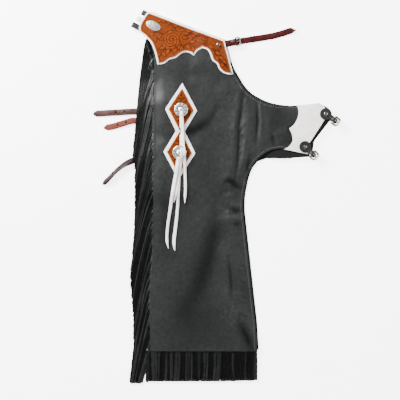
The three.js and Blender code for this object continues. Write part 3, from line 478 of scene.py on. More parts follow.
def made(name, points, faces, materials, dye=None, slots=None, replaces=()):
    """A finished piece from points and faces, riding on the part."""
    mesh = sound_mesh(name, points, faces)
    for material in materials if isinstance(materials, list) else [materials]:
        mesh.materials.append(material)
    if slots is not None:
        mesh.polygons.foreach_set("material_index", slots)
    # The dye mark holds real dye and tarnish on cut edges, carving and plates, and painted shade
    # and highlight on the black hide and the fringe.
    if dye is not None:
        layer = mesh.attributes.new("dye", "FLOAT", "POINT")
        layer.data.foreach_set("value", np.asarray(dye, np.float32))
    smooth_shaded(mesh)
    mesh.update()
    piece = placed(name, mesh)
    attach(piece, "root")
    if replaces:
        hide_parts(*replaces)
    return piece


# How much dye stays on the underside and on the cut edge of a skin.
UNDER_DYE, EDGE_DYE = 0.4, 0.55


def skin(leg, name, node, ring, outer, thick, step, materials, relief=None):
    """Leather cut to an outline, in place of a CAD node. Its outer face follows a height, and
    its cut edge is rounded. Of two materials the second is the flesh side's."""
    up = leg.up
    thick = thick * MM
    soft = 0.42 * thick
    inner_ring = moved_in(ring, soft)
    low, high = ring.min(0), ring.max(0)
    xs = np.arange(low[0], high[0], step * MM)
    ys = np.arange(low[1], high[1], step * MM * 0.87)
    gx, gy = np.meshgrid(xs, ys)
    gx = gx + (np.arange(len(ys)) % 2)[:, None] * step * MM / 2
    gx, gy = gx.ravel(), gy.ravel()
    keep = depth_inside(gx, gy, inner_ring) > 0.45 * step * MM
    flat = np.vstack([inner_ring, np.c_[gx[keep], gy[keep]]])
    n = len(inner_ring)
    edges = [(i, (i + 1) % n) for i in range(n)]
    spots = [Vector((x, y)) for x, y in flat * 1000]
    out, _, faces, origin, _, _ = geometry.delaunay_2d_cdt(spots, edges, [], 1, 1e-5)
    place = {}
    for index, sources in enumerate(origin):
        for source in sources:
            place[source] = index
    x, y = (np.array([v[i] for v in out]) / 1000 for i in (0, 1))
    top = outer(x, y)
    bottom = top - up * thick
    count = len(out)
    dye = None
    if relief is not None:
        rise, dye = relief(x, y)
        top = top + up * rise * MM
    points = [np.c_[x, y, top], np.c_[x, y, bottom]]
    solid = [tuple(f) for f in faces] + [tuple(i + count for i in f[::-1]) for f in faces]
    rim_low = [place[i] for i in range(n)]
    ring_top = top[rim_low]
    outward = (ring - inner_ring) / soft
    previous, total = rim_low, 2 * count
    for k in range(1, 6):
        angle = math.pi * k / 6
        reach, level = soft * math.sin(angle) ** 0.6, (1 - math.copysign(
            abs(math.cos(angle)) ** 0.6, math.cos(angle))) / 2
        spot = inner_ring + outward * reach
        points.append(np.c_[spot, ring_top - up * thick * level])
        here = list(range(total, total + n))
        total += n
        solid += [(previous[i], previous[(i + 1) % n], here[(i + 1) % n], here[i])
                  for i in range(n)]
        previous = here
    under = [i + count for i in rim_low]
    solid += [(previous[i], previous[(i + 1) % n], under[(i + 1) % n], under[i]) for i in range(n)]
    if dye is not None:
        dye = np.r_[dye, np.full(count, UNDER_DYE), np.full(total - 2 * count, EDGE_DYE)]
    slots = None
    if isinstance(materials, list):
        slots = [0] * len(faces) + [1] * len(faces) + [0] * (len(solid) - 2 * len(faces))
    return made(leg.node(name), np.vstack(points), solid, materials, dye, slots,
                replaces=[leg.node(node)])


def band_section(width, thick):
    """A strap's section: square, with softened corners."""
    w, t, e = width / 2, thick / 2, 0.28 * thick
    return np.array([(w, e - t), (w, t - e), (w - e, t), (e - w, t), (-w, t - e), (-w, e - t),
                     (e - w, -t), (w - e, -t)])


def round_section(width, thick, count=10):
    a = np.arange(count) * 2 * math.pi / count
    return np.c_[np.cos(a) * width / 2, np.sin(a) * thick / 2]


def sweep(path, sides, section, scales=None, closed=False):
    """Points and faces of a section carried along a path. sides are its width's directions."""
    path, sides = np.asarray(path, float), np.asarray(sides, float)
    along = np.roll(path, -1, 0) - np.roll(path, 1, 0) if closed else np.gradient(path, axis=0)
    along = unit(along)
    sides = unit(sides - along * (sides * along).sum(1)[:, None])
    ups = np.cross(along, sides)
    count, m = len(path), len(section)
    scales = np.ones(count) if scales is None else np.asarray(scales)
    width = section[None, :, 0] * scales[:, None]
    points = (path[:, None] + sides[:, None] * width[..., None]
              + ups[:, None] * section[None, :, 1, None])
    faces = []
    for i in range(count if closed else count - 1):
        a, b = i * m, (i + 1) % count * m
        faces += [(a + k, a + (k + 1) % m, b + (k + 1) % m, b + k) for k in range(m)]
    if not closed:
        faces += [tuple(range(m))[::-1], tuple(range((count - 1) * m, count * m))]
    return points.reshape(-1, 3), faces


def joined(parts):
    """Several runs of points and faces as one."""
    points, faces, start = [], [], 0
    for some_points, some_faces in parts:
        points.append(some_points)
        faces += [tuple(i + start for i in f) for f in some_faces]
        start += len(some_points)
    return np.vstack(points), faces


def rounded_tip(count, long, tip, width):
    """Widths along a strap that ends in a rounded point."""
    left = (1 - np.linspace(0, 1, count)) * long
    t = np.clip(left / tip, 0, 1)
    return np.maximum(np.sqrt(1 - (1 - t) ** 2), 0.8 * MM / width)


def slices(node):
    """The centre line of a long CAD node: rows of centre and width direction."""
    mesh = cad_mesh([node])
    spots = np.array([v.co for v in mesh.verts])
    pairs = np.array([[e.verts[0].index, e.verts[1].index] for e in mesh.edges])
    mesh.free()
    axis = int(np.argmax(np.ptp(spots[:, :2], axis=0)))
    rows = []
    low, high = spots[:, axis].min() + 0.4 * MM, spots[:, axis].max() - 0.4 * MM
    for level in np.linspace(low, high, 16):
        d = spots[:, axis] - level
        cross = d[pairs[:, 0]] * d[pairs[:, 1]] < 0
        a, b = pairs[cross].T
        t = (d[a] / (d[a] - d[b]))[:, None]
        cut = spots[a] + (spots[b] - spots[a]) * t
        middle = cut.mean(0)
        _, _, ways = np.linalg.svd(cut - middle, full_matrices=False)
        side, up = ways[0], ways[1]
        if side[1 - axis] < 0:
            side = -side
        for way in (side, up):
            reach = (cut - middle) @ way
            middle = middle + way * (reach.max() + reach.min()) / 2
        rows.append(np.r_[middle, side])
    return np.array(rows)


def disc(leg, name, node, outline, profile, turn, material, rings, spokes, thick,
         dye=lambda share, angle: 0 * angle):
    """A round piece in place of a CAD node: outline(angle) in millimetres, and
    profile(share, angle) above a rim that is thick."""
    low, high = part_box(leg.node(node))
    rest = low.z if leg.up > 0 else high.z
    centre = ((low.x + high.x) / 2, (low.y + high.y) / 2, rest + leg.up * thick * MM)
    angles = np.arange(spokes) * 2 * math.pi / spokes
    shares = np.r_[np.linspace(0.04, 0.97, rings), 1.0, 1.0]
    lifts = np.r_[np.zeros(rings), -0.35 * thick, -thick]
    zero = np.array(0.0)
    points = [[0, 0, profile(zero, zero)]]
    tones = [float(dye(zero, zero))]
    for share, lift in zip(shares, lifts):
        reach = outline(angles) * share
        rise = profile(np.minimum(share, 0.97) + 0 * angles, angles) + lift
        points += list(np.c_[reach * np.cos(angles), reach * np.sin(angles), rise])
        tones += list(dye(share + 0 * angles, angles))
    points.append([0, 0, -thick])
    tones.append(0)
    points = np.array(points) * MM
    c, s = math.cos(turn), math.sin(turn)
    turned = np.c_[points[:, 0] * c - points[:, 1] * s, points[:, 0] * s + points[:, 1] * c,
                   points[:, 2] * leg.up] + np.array(centre)
    faces = [(0, 1 + k, 1 + (k + 1) % spokes) for k in range(spokes)]
    total = len(shares)
    for r in range(total - 1):
        a, b = 1 + r * spokes, 1 + (r + 1) * spokes
        faces += [(a + k, b + k, b + (k + 1) % spokes, a + (k + 1) % spokes)
                  for k in range(spokes)]
    last = 1 + (total - 1) * spokes
    faces += [(last + (k + 1) % spokes, last + k, len(points) - 1) for k in range(spokes)]
    return made(leg.node(name), turned, faces, material, tones, replaces=[leg.node(node)])


# Materials


def add(tree, kind, inputs=(), stops=(), **settings):
    """Adds a node. inputs are its sockets' values, or the sockets that they come from."""
    made_node = tree.nodes.new(kind)
    for key, value in settings.items():
        setattr(made_node, key, value)
    for key, value in dict(inputs).items():
        socket = made_node.inputs[key]
        if isinstance(value, bpy.types.NodeSocket):
            tree.links.new(value, socket)
        else:
            socket.default_value = value
    if stops:
        elements = made_node.color_ramp.elements
        while len(elements) < len(stops):
            elements.new(0.5)
        for element, (place, value) in zip(elements, stops):
            element.position = place
            element.color = (value, value, value, 1)
    return made_node


def surface(name, **values):
    """A new material with its shader's plain values, and the place on the object."""
    material = bpy.data.materials.new(name)
    material.use_nodes = True
    tree = material.node_tree
    for key, value in values.items():
        tree.nodes["Principled BSDF"].inputs[key.replace("_", " ")].default_value = value
    return material, tree, add(tree, "ShaderNodeTexCoord").outputs["Object"]


def scale(millimetres):
    """A texture's scale for features of a real size."""
    return 1000 / millimetres


def clouds(tree, place, millimetres, detail, roughness=0.5):
    """Soft noise with features of a real size."""
    return add(tree, "ShaderNodeTexNoise", {
        "Vector": place, "Scale": scale(millimetres), "Detail": detail,
        "Roughness": roughness}).outputs[0]


def spread_to(tree, value, low, high, start=0.0, end=1.0):
    """A value from start to end, carried to low to high."""
    return add(tree, "ShaderNodeMapRange", {"Value": value, "From Min": start, "From Max": end,
                                            "To Min": low, "To Max": high}).outputs[0]


def ramp(tree, value, *stops):
    """A grey for a value, from the greys at some stops."""
    return add(tree, "ShaderNodeValToRGB", {"Fac": value}, stops=stops).outputs[0]


def worked(tree, operation, a, b, clamp=False):
    """The result of a sum, difference or product."""
    return add(tree, "ShaderNodeMath", {0: a, 1: b}, operation=operation,
               use_clamp=clamp).outputs[0]


def dye_and_painted_light_mark(tree):
    """How dark each point of the mesh is marked: real dye and tarnish on the cut edges, the
    carving and the plates, and painted shade and highlight on the black hide and the fringe.
    """
    return add(tree, "ShaderNodeAttribute", attribute_name="dye").outputs["Fac"]


def dressed(material, share, start, end, height=None, strength=0.0, depth=0.0, gloss=None):
    """Gives a material a mix of two colours, a relief depth millimetres deep, and a gloss."""
    tree = material.node_tree
    shader = tree.nodes["Principled BSDF"]
    colour = add(tree, "ShaderNodeMix", {0: share, 6: (*start, 1.0), 7: (*end, 1.0)},
                 data_type="RGBA")
    tree.links.new(colour.outputs[2], shader.inputs["Base Color"])
    if gloss is not None:
        tree.links.new(gloss, shader.inputs["Roughness"])
    if height is not None:
        bump = add(tree, "ShaderNodeBump", {"Height": height, "Strength": strength,
                                            "Distance": depth * MM})
        tree.links.new(bump.outputs[0], shader.inputs["Normal"])
    return material


def black_hide(name, lights, darks, roughness, shine, grain=1.5):
    """Chrome-tanned cowhide, drum-dyed and plated: a tight pebbled grain under a soft,
    slightly oily sheen, greyer where it has been rubbed. Its dye mark paints shade into creases
    and, on the fringe, makes strips lighter or darker."""
    material, tree, place = surface(name, Specular_IOR_Level=shine)
    cloud = clouds(tree, place, 140, 4)
    streak = clouds(tree, place, 9, 6, 0.65)
    rubbed = spread_to(tree, worked(tree, "MULTIPLY", cloud, streak), 0.4, 1.0, 0.1, 0.42)
    # The dye mark darkens the cut edges, paints shade into the creases and, on the fringe, paints
    # each strip lighter or darker by how it lies to the light; elsewhere the face is rubbed greyer
    # at random.
    unshaded_share = worked(tree, "SUBTRACT", 1.0, dye_and_painted_light_mark(tree))
    wear_and_painted_light = worked(tree, "MULTIPLY", rubbed, unshaded_share)
    gloss = spread_to(tree, streak, roughness - 0.07, roughness + 0.08, 0.3, 0.7)
    # Pebbles of the real grain are about 0.7 mm: drawn twice as coarse so that they show.
    pebble = add(tree, "ShaderNodeTexVoronoi", {"Vector": place, "Scale": scale(grain)},
                 feature="SMOOTH_F1")
    pore = clouds(tree, place, 2.6, 8, 0.7)
    rough = worked(tree, "ADD", pebble.outputs["Distance"], pore)
    return dressed(material, wear_and_painted_light, darks, lights, rough, 0.55, 0.36, gloss)


def napped(name, lights, darks):
    """The flesh side of a hide: a short nap with no sheen, brushed this way and that."""
    material, tree, place = surface(name, Roughness=0.92, Specular_IOR_Level=0.1,
                                    Sheen_Weight=0.08, Sheen_Roughness=0.6)
    nap = clouds(tree, place, 3.2, 9, 0.75)
    return dressed(material, nap, darks, lights, nap, 0.6, 0.5)


def painted_white(name, lights):
    """Pigmented white leather: an even coat over a fine grain, a little warmer here and there."""
    material, tree, place = surface(name, Specular_IOR_Level=0.35)
    cloud = clouds(tree, place, 24, 5)
    shade = [v * f for v, f in zip(lights, (0.86, 0.84, 0.8))]
    tone = ramp(tree, cloud, (0.3, 0.0), (0.6, 1.0))
    grain = add(tree, "ShaderNodeTexVoronoi", {"Vector": place, "Scale": scale(1.2)})
    return dressed(material, tone, shade, lights, grain.outputs["Distance"], 0.35, 0.12,
                   spread_to(tree, cloud, 0.44, 0.6))


def carved(name, lights, dye):
    """Vegetable-tanned skirting, carved and stamped, with antique dye wiped off its high
    parts and a coat of wax: warm tan ridges, dark brown cuts and a low gloss."""
    material, tree, place = surface(name, Specular_IOR_Level=0.05)
    cloud = clouds(tree, place, 11, 6, 0.6)
    rubbed = spread_to(tree, cloud, -0.12, 0.16, 0.3, 0.7)
    total = worked(tree, "ADD", dye_and_painted_light_mark(tree), rubbed, clamp=True)
    pore = clouds(tree, place, 0.9, 5)
    return dressed(material, total, lights, dye, pore, 0.3, 0.1,
                   spread_to(tree, total, 0.36, 0.62))


def bridle(name, lights, darks):
    """Bridle leather, drum-dyed and greased: smooth and glossy, with fine creases
    and a darker tone here and there."""
    material, tree, place = surface(name, Specular_IOR_Level=0.14)
    cloud = clouds(tree, place, 18, 7, 0.65)
    tone = ramp(tree, cloud, (0.34, 0.0), (0.62, 1.0))
    crease = clouds(tree, place, 2.0, 6)
    return dressed(material, tone, darks, lights, crease, 0.35, 0.2,
                   spread_to(tree, cloud, 0.32, 0.56))


def plated(name, lights, darks, roughness, struck):
    """Plated white metal, die-struck and buffed: bright, with soft polishing lines, and
    tarnish left in the lines of the struck pieces."""
    material, tree, place = surface(name, Metallic=1.0)
    swirl = clouds(tree, place, 3, 6, 0.7)
    mark = dye_and_painted_light_mark(tree) if struck else ramp(tree, swirl, (0.55, 0.0), (0.9, 0.6))
    return dressed(material, mark, lights, darks, swirl, 0.12, 0.1,
                   spread_to(tree, swirl, roughness - 0.06, roughness + 0.12))


def darker(colour, share):
    """What is left of a colour in its dark places."""
    return [v * share for v in colour]


FINISHES = {}


def finish(name):
    """The materials, each made once from the chosen colours."""
    if not FINISHES:
        c = chosen("colours")
        # The lower right thigh strap's burgundy, darkened to 0.3, is a painted shade.
        shaded = darker(c.burgundy, 0.3)
        FINISHES.update({
            "hide": black_hide("plated black cowhide", c.black_worn_and_highlight, c.black, 0.42, 0.13),
            # The fringe's dark is the hide's black cut to 0.3, a painted shade among the strips;
            # its light is the painted highlight of strips turned to the light.
            "fringe": black_hide("cut black fringe", c.black_worn_and_highlight, darker(c.black, 0.3), 0.32,
                                 0.17, grain=2.0),
            "suede": napped("black flesh side", c.suede, darker(c.suede, 0.5)),
            "white": painted_white("pigmented white leather", c.white),
            "carved": carved("carved saddle skirting", c.tan, c.dye),
            "burgundy": bridle("burgundy bridle leather", c.burgundy, darker(c.burgundy, 0.45)),
            "mauve": bridle("mauve bridle leather", c.mauve, darker(c.mauve, 0.45)),
            "greased burgundy": bridle("greased burgundy bridle leather", shaded,
                                       darker(shaded, 0.4)),
            "flesh": napped("strap flesh side", c.flesh, darker(c.flesh, 0.6)),
            "silver": plated("struck silver plate", c.silver, linear("#3a3937"), 0.3, True),
            "nickel": plated("buffed nickel plate", c.nickel, linear("#453c34"), 0.2, False),
            "thread": napped("waxed black thread", linear("#5d6062"), linear("#3c3e40")),
        })
    return FINISHES[name]


# Tooling

# Stems of the yoke's scrolls: points across and down, and the width of the stem.
YOKE_STEMS = [
    ([(56, 74), (76, 88), (98, 84), (112, 68), (106, 56), (96, 60)], 2.6),
    ([(98, 84), (122, 92), (142, 84), (150, 74), (143, 66), (136, 72)], 2.6),
    ([(142, 84), (160, 98), (176, 104), (184, 92), (178, 84)], 2.4),
    ([(160, 98), (176, 118), (190, 134), (204, 148)], 2.4),
    ([(56, 74), (40, 92), (30, 108), (22, 124)], 2.4),
    ([(56, 74), (36, 62), (22, 54), (8, 56)], 2.2),
    ([(70, 56), (60, 38), (40, 26), (24, 20)], 2.2),
    ([(112, 68), (128, 60), (148, 58), (168, 66), (188, 78)], 2.2),
]
# Leaves: where the stalk is, the way that it points in degrees below the row, length, width.
YOKE_LEAVES = [
    (74, 90, 55, 24, 13), (84, 90, 100, 18, 11), (96, 86, 62, 18, 11), (66, 92, 92, 20, 12),
    (104, 78, 12, 17, 10), (110, 92, 70, 15, 10), (122, 92, 45, 17, 10), (118, 66, 200, 14, 9),
    (128, 90, 5, 15, 9), (136, 88, 62, 16, 10), (148, 92, 85, 17, 10), (152, 90, 15, 18, 10),
    (150, 62, 20, 18, 9), (128, 60, 340, 16, 9), (164, 102, 95, 18, 10), (170, 106, 20, 17, 10),
    (176, 116, 100, 18, 10), (180, 120, 15, 17, 10), (190, 134, 105, 14, 9), (188, 126, 35, 18, 9),
    (168, 66, 40, 16, 9), (184, 80, 60, 18, 9), (44, 90, 70, 19, 11), (40, 92, 150, 18, 11),
    (32, 106, 60, 17, 10), (28, 110, 150, 14, 9), (22, 122, 80, 14, 9), (48, 98, 100, 18, 11),
    (38, 66, 160, 18, 10), (24, 56, 110, 16, 10), (30, 60, 140, 17, 10), (10, 56, 130, 14, 9),
    (50, 34, 250, 14, 9), (40, 28, 195, 15, 9), (30, 22, 160, 15, 9), (60, 40, 330, 20, 10),
    (76, 50, 350, 19, 10), (88, 58, 350, 17, 9), (84, 66, 20, 17, 10), (70, 34, 20, 22, 10),
    (92, 48, 20, 22, 9), (112, 54, 22, 20, 9), (14, 66, 95, 16, 9), (134, 68, 35, 14, 8),
]
FLOWER = (56, 74, 25)
INSET_STEMS = [([(0, -18), (3, -30), (0, -42)], 2.0), ([(0, 18), (-3, 30), (0, 42)], 2.0)]
INSET_LEAVES = [
    (0, -20, 215, 18, 9), (0, -20, 325, 18, 9), (1, -30, 240, 15, 8), (1, -30, 300, 15, 8),
    (0, 20, 35, 18, 9), (0, 20, 145, 18, 9), (-1, 30, 60, 15, 8), (-1, 30, 120, 15, 8),
    (-12, -4, 190, 14, 9), (12, -4, 350, 14, 9), (-12, 4, 170, 14, 9), (12, 4, 10, 14, 9),
]


def leaf(x, y, foot, turn, long, wide, bend, lobes=4):
    """How deep places lie inside a curled leaf, in millimetres, and how far along it."""
    a = math.radians(turn)
    dx, dy = x - foot[0], y - foot[1]
    u = (dx * math.cos(a) + dy * math.sin(a)) / long
    v = (-dx * math.sin(a) + dy * math.cos(a)) - bend * long * np.clip(u, 0, 1) ** 2
    body = np.sin(math.pi * np.clip(u, 0, 1) ** 0.7)
    half = wide / 2 * body * (1 - 0.16 * np.abs(np.sin(lobes * math.pi * u)) ** 3)
    inside = half - np.abs(v)
    return np.where((u < 0) | (u > 1), -np.abs(v) - 4, inside), u, v


def tooling(across, down, edge, stems, leaves, flower=None):
    """Carved height in millimetres, and how much dye stays, for places on a tooled piece."""
    height = np.full(np.shape(across), -9.0)
    cut = np.zeros(np.shape(across))
    vein = np.zeros(np.shape(across))

    def raise_form(inside, level, veins=0.0):
        nonlocal height, cut, vein
        rise = level * np.clip(inside / 1.5, 0, 1) ** 0.6
        above = (inside > 0) & (rise >= height)
        cut = np.where(inside > 1.3, cut * 0.25, np.maximum(cut, bell(inside + 0.3, 1.25)))
        height = np.where(above, rise, height)
        vein = np.where(inside > 0, veins, vein)

    runs = [(*to_line(across, down, smooth_run(points, 40)), wide) for points, wide in stems]
    for distance, share, wide in runs:
        raise_form(wide / 2 * (1.25 - 0.5 * share) - distance, 0.5)
    for i, (x, y, turn, long, wide) in enumerate(leaves):
        bend = 0.2 if i % 2 else -0.2
        inside, u, v = leaf(across, down, (x, y), turn, long, wide, bend)
        ribs = bell(v, 0.55) + 0.45 * np.clip(
            np.sin(2 * math.pi * (6 * u - np.abs(v) / wide * 2)), 0, 1) ** 4
        raise_form(inside, 0.55, np.clip(ribs, 0, 1))
    if flower:
        fx, fy, reach = flower
        for k in range(6):
            inside, _, _ = leaf(across, down, (fx, fy), k * 60, reach * 1.05, reach, bend=0.5,
                                lobes=2)
            raise_form(inside, 0.5)
        # The petals are whorled: cut lines wind out from the flower's heart.
        pitch = 7.0
        distance = np.hypot(across - fx, down - fy)
        wind = np.arctan2(down - fy, across - fx) / (2 * math.pi)
        phase = (distance / pitch - 2 * wind) % 1
        whorl = bell(np.minimum(phase, 1 - phase) * pitch, 1.15)
        cut = np.where((distance < reach) & (distance > 4), np.maximum(cut * 0.5, whorl), cut)
        raise_form(reach * 0.17 - distance, 0.9)
    # Long blade cuts follow the stems on both sides.
    for distance, share, _ in runs:
        for off in (5.5, 10.5):
            blade = bell(distance - off - 1.5 * np.sin(9 * share), 0.95)
            blade = blade * np.clip(8 * np.minimum(share, 1 - share), 0, 1) * (height < 0.45)
            cut = np.maximum(cut, 0.85 * blade)
    ground = height < 0
    stipple = np.sin(across * 3.1 + np.sin(down * 1.7)) * np.sin(down * 3.3)
    rise = np.where(ground, -0.12 + 0.07 * stipple, height - 0.2 * vein)
    rise = rise - 0.32 * cut
    dye = np.where(ground, 0.3 + 0.22 * stipple, 0.03 + 0.4 * vein)
    dye = np.maximum(dye, 0.97 * cut)
    # A plain rim with one pressed line runs round the carving.
    rim = edge < 4.6
    line = bell(edge - 4.4, 0.5)
    rise = np.where(rim, 0.42, rise) - 0.4 * line - 0.5 * bell(edge, 0.9)
    dye = np.where(rim, 0.1, dye)
    dye = np.maximum(dye, 0.9 * line)
    dye = np.maximum(dye, 0.55 * bell(edge, 0.8))
    return rise, np.clip(dye, 0, 1)


# Pieces


def white_layer(leg, name, node, step, corner=46):
    """White leather sewn on a leg, cut to a CAD node's outline, which it gives back."""
    border = chosen("leather").border
    ring = cut_line(leg.node(node), leg.up, step, corner)
    layer = skin(leg, name, node, ring, lambda x, y: leg.face(x, y, GAP + border), border, 5,
                 finish("white"))
    return ring


def tooled_layer(leg, name, node, ring, origin, *forms):
    """Carved leather on the white layer. Its forms are measured from an origin."""
    leather = chosen("leather")
    level = GAP + leather.border + GAP + leather.tooling

    def carve(x, y):
        return tooling(*on_pattern(x, y, origin), depth_inside(x, y, ring) / MM, *forms)

    layer = skin(leg, name, node, ring, lambda x, y: leg.face(x, y, level - CARVING),
                 leather.tooling - CARVING, 1.1 if leg.up > 0 else 1.8, finish("carved"), carve)


def stitch_row(leg, name, line, length):
    """Separate stitches along a run of points in the plane."""
    far = run_lengths(line)
    parts = []
    for start in np.arange(1 * MM, far[-1] - length * MM, length * 1.45 * MM):
        at = start + np.linspace(0, length * MM, 5)
        x, y = np.interp(at, far, line[:, 0]), np.interp(at, far, line[:, 1])
        z = leg.face(x, y) + leg.up * MM * np.array([-0.35, 0.16, 0.22, 0.16, -0.35])
        side = np.c_[-np.gradient(y), np.gradient(x), 0 * x]
        parts.append(sweep(np.c_[x, y, z], side, round_section(0.95 * MM, 0.6 * MM, 6)))
    points, faces = joined(parts)
    return made(leg.node(name), above_floor(points, 0), faces, finish("thread"))


class CHAPS_OT_legs(bpy.types.Operator):
    """Makes the two leg skins, with a pressed crease and stitches along their edges"""
    bl_idname = "chaps.legs"
    bl_label = "Leg leather"

    # Where the stitches start, at the hem, and end, at the yoke: across and down.
    ends = ((279, 880), (224, 166))

    def execute(self, context):
        leather = chosen("leather")
        inset = leather.seam_inset
        for leg in legs():
            ring = leg.ring

            def pressed(x, y):
                edge = depth_inside(x, y, ring) / MM
                relief = 0.4 * bell(edge - inset / 2, 1.8) - 0.55 * bell(edge - inset, 1.3)
                # Its second value is the painted shade of the creases, carried in the dye mark.
                return relief, fold_shade(x, y) if leg.up > 0 else 0 * edge

            panel = skin(leg, "leg_skin", "leg_panel", ring, leg.face, leather.hide,
                         leather.step if leg.up > 0 else leather.step * 1.5,
                         [finish("hide"), finish("suede")], pressed)
            flat = np.ptp(ring, axis=0)
            abs(area_of(ring))
            line = moved_in(ring, inset * MM)
            first, last = (int(np.argmin(np.hypot(*(line - np.array(pattern(*end))).T)))
                           for end in self.ends)
            run = line[(first + np.arange((last - first) % len(line) + 1)) % len(line)]
            stitches = stitch_row(leg, "edge_stitches", run, leather.stitch)
        return {"FINISHED"}


class CHAPS_OT_yokes(bpy.types.Operator):
    """Makes the white borders and the tooled yokes with their plates and rivets"""
    bl_idname = "chaps.yokes"
    bl_label = "Yokes"

    def execute(self, context):
        trim = chosen("trim")
        for leg in legs():
            ring = white_layer(leg, "yoke_border", "yoke_underlay", 2.0)
            tooled_layer(leg, "yoke_carved", "yoke_tooled", moved_in(ring, trim.border * MM),
                         (SEAM, TOP), YOKE_STEMS, YOKE_LEAVES, FLOWER)
            self.plate(leg)
            rivet_cap(leg, "yoke_rivet", trim.rivet)
        return {"FINISHED"}

    def plate(self, leg):
        def outline(a):
            return 1 / np.sqrt((np.cos(a) / 19.5) ** 2 + (np.sin(a) / 11) ** 2)

        def profile(share, a):
            crown = 0.9 * (1 - share ** 2)
            rope = 0.16 * np.sin(22 * a) * bell(share - 0.9, 0.05)
            ring = -0.2 * bell(share - 0.76, 0.04)
            scroll = 0.14 * np.sin(5 * a + 9 * share) * bell(share - 0.45, 0.2)
            return crown + rope + ring + scroll

        def dye(share, a):
            ring = 0.8 * bell(share - 0.76, 0.04)
            scroll = 0.5 * np.clip(-np.sin(5 * a + 9 * share), 0, 1) * bell(share - 0.45, 0.2)
            return np.clip(ring + scroll, 0, 1)

        plate = disc(leg, "plate", "oval_plate", outline, profile, math.radians(-24),
                     finish("silver"), rings=22, spokes=88, thick=0.7, dye=dye)


def rivet_cap(leg, piece, diameter):
    """A domed rivet cap on its CAD place."""
    cap = disc(leg, piece + "_cap", piece, lambda a: diameter / 2 + 0 * a,
               lambda s, a: 1.2 * np.sqrt(np.maximum(1 - s ** 2, 0)) - 0.25 * bell(s - 0.32, 0.1),
               0, finish("nickel"), rings=9, spokes=32, thick=0.8)


class CHAPS_OT_diamonds(bpy.types.Operator):
    """Makes the double diamonds, their conchos and the white thongs"""
    bl_idname = "chaps.diamonds"
    bl_label = "Diamonds"

    def execute(self, context):
        trim = chosen("trim")
        for leg in legs():
            white_layer(leg, "diamond_border", "diamond_underlay", 2.5, corner=14)
            for place in ("upper", "lower"):
                node = leg.node(f"diamond_tooled_{place}")
                low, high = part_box(node)
                ring = moved_in(cut_line(node, leg.up, 2.0, corner=14), -1.1 * MM)
                tooled_layer(leg, f"diamond_carved_{place}", f"diamond_tooled_{place}", ring,
                             ((low.x + high.x) / 2, (low.y + high.y) / 2), INSET_STEMS,
                             INSET_LEAVES)
                self.concho(leg, place, trim.concho / 2)
            self.thongs(leg, trim.thong)
        return {"FINISHED"}

    def concho(self, leg, place, radius):
        def outline(a):
            return radius * (0.93 + 0.07 * np.abs(np.cos(5 * a)) ** 0.7)

        def profile(s, a):
            bead = 0.5 * bell(s - 0.9, 0.05) * (0.6 + 0.4 * np.cos(40 * a))
            petals = 0.55 * np.abs(np.cos(5 * a)) * bell(s - 0.66, 0.16)
            dome = 1.9 * np.clip(1 - (s / 0.42) ** 2, 0, 1) ** 0.6
            flutes = 0.16 * np.cos(12 * a) * bell(s - 0.28, 0.1)
            return bead + petals + dome + flutes + 0.2

        def dye(s, a):
            valley = 0.95 * bell(s - 0.46, 0.06) + 0.7 * bell(s - 0.83, 0.04)
            between = 0.95 * (1 - np.abs(np.cos(5 * a))) ** 2 * (s > 0.48) * (s < 0.9)
            lines = 0.45 * np.clip(-np.cos(12 * a), 0, 1) ** 2 * (s > 0.15) * (s < 0.4)
            return np.clip(valley + between + lines, 0, 0.9)

        piece = disc(leg, f"struck_concho_{place}", f"concho_{place}", outline, profile, 0.1,
                     finish("silver"), rings=30, spokes=120, thick=1.2, dye=dye)

    # Strands of the thongs: points across and down, and what they lie over besides the leg.
    upper = [
        ([(82, 262), (84, 296), (85, 335), (89, 376), (91, 420), (92, 462), (90, 500)], 1.9),
        ([(81, 262), (81, 296), (81, 335), (82, 376), (77, 415), (70, 455), (62, 497)], 0.2),
    ]
    lower = [
        ([(74, 380), (69, 414), (60, 465), (52, 517), (45, 568), (44, 600), (48, 618)], 2.0),
        ([(77, 382), (76, 418), (74, 465), (71, 517), (65, 572), (62, 600), (64, 624)], 0.4),
    ]

    def thongs(self, leg, width):
        nodes = [leg.node(n) for n in ("leg_panel", "diamond_underlay", "diamond_tooled_upper",
                                       "diamond_tooled_lower", "concho_upper", "concho_lower")]
        seat = Heights(nodes, leg.up, cell=3.0, blur=4.0)
        thick, count = 1.6, 60
        for place, strands in (("upper", self.upper), ("lower", self.lower)):
            parts = []
            for k, (points, over) in enumerate(strands):
                line = smooth_run(np.transpose(pattern(*np.transpose(points))), count)
                z = seat(*line.T) + leg.up * (0.5 + thick / 2 + over) * MM
                if leg.up > 0:
                    curl = 0.7 * MM * np.sin(np.linspace(0, 9, count) + 2 * k)
                    z = z + crease_heights(*line.T) + curl
                z = np.maximum(z, thick / 2 * MM)
                side = np.c_[-np.gradient(line[:, 1]), np.gradient(line[:, 0]), 0 * z]
                side[:, 2] = np.hypot(side[:, 0], side[:, 1]) * 0.22 * np.sin(
                    np.linspace(0, 7, count) + k)
                shape = 0.9 + 0.1 * np.sin(np.linspace(0.4, 5, count) + 3 * k)
                shape[-6:] *= np.linspace(1, 0.22, 6)
                parts.append(sweep(np.c_[line, z], side, band_section(width * MM, thick * MM),
                                   shape))
            points, faces = joined(parts)
            piece = made(leg.node(f"{place}_thongs"), above_floor(points), faces,
                         finish("white"), replaces=[leg.node(f"thongs_{place}")])


# Tabs and buckles: the heel bar's place on the pattern and the way that the buckle points.
TAB_HEELS = {"upper": (478.3, 281.7, -35.0), "lower": (422.3, 369.9, -43.0)}


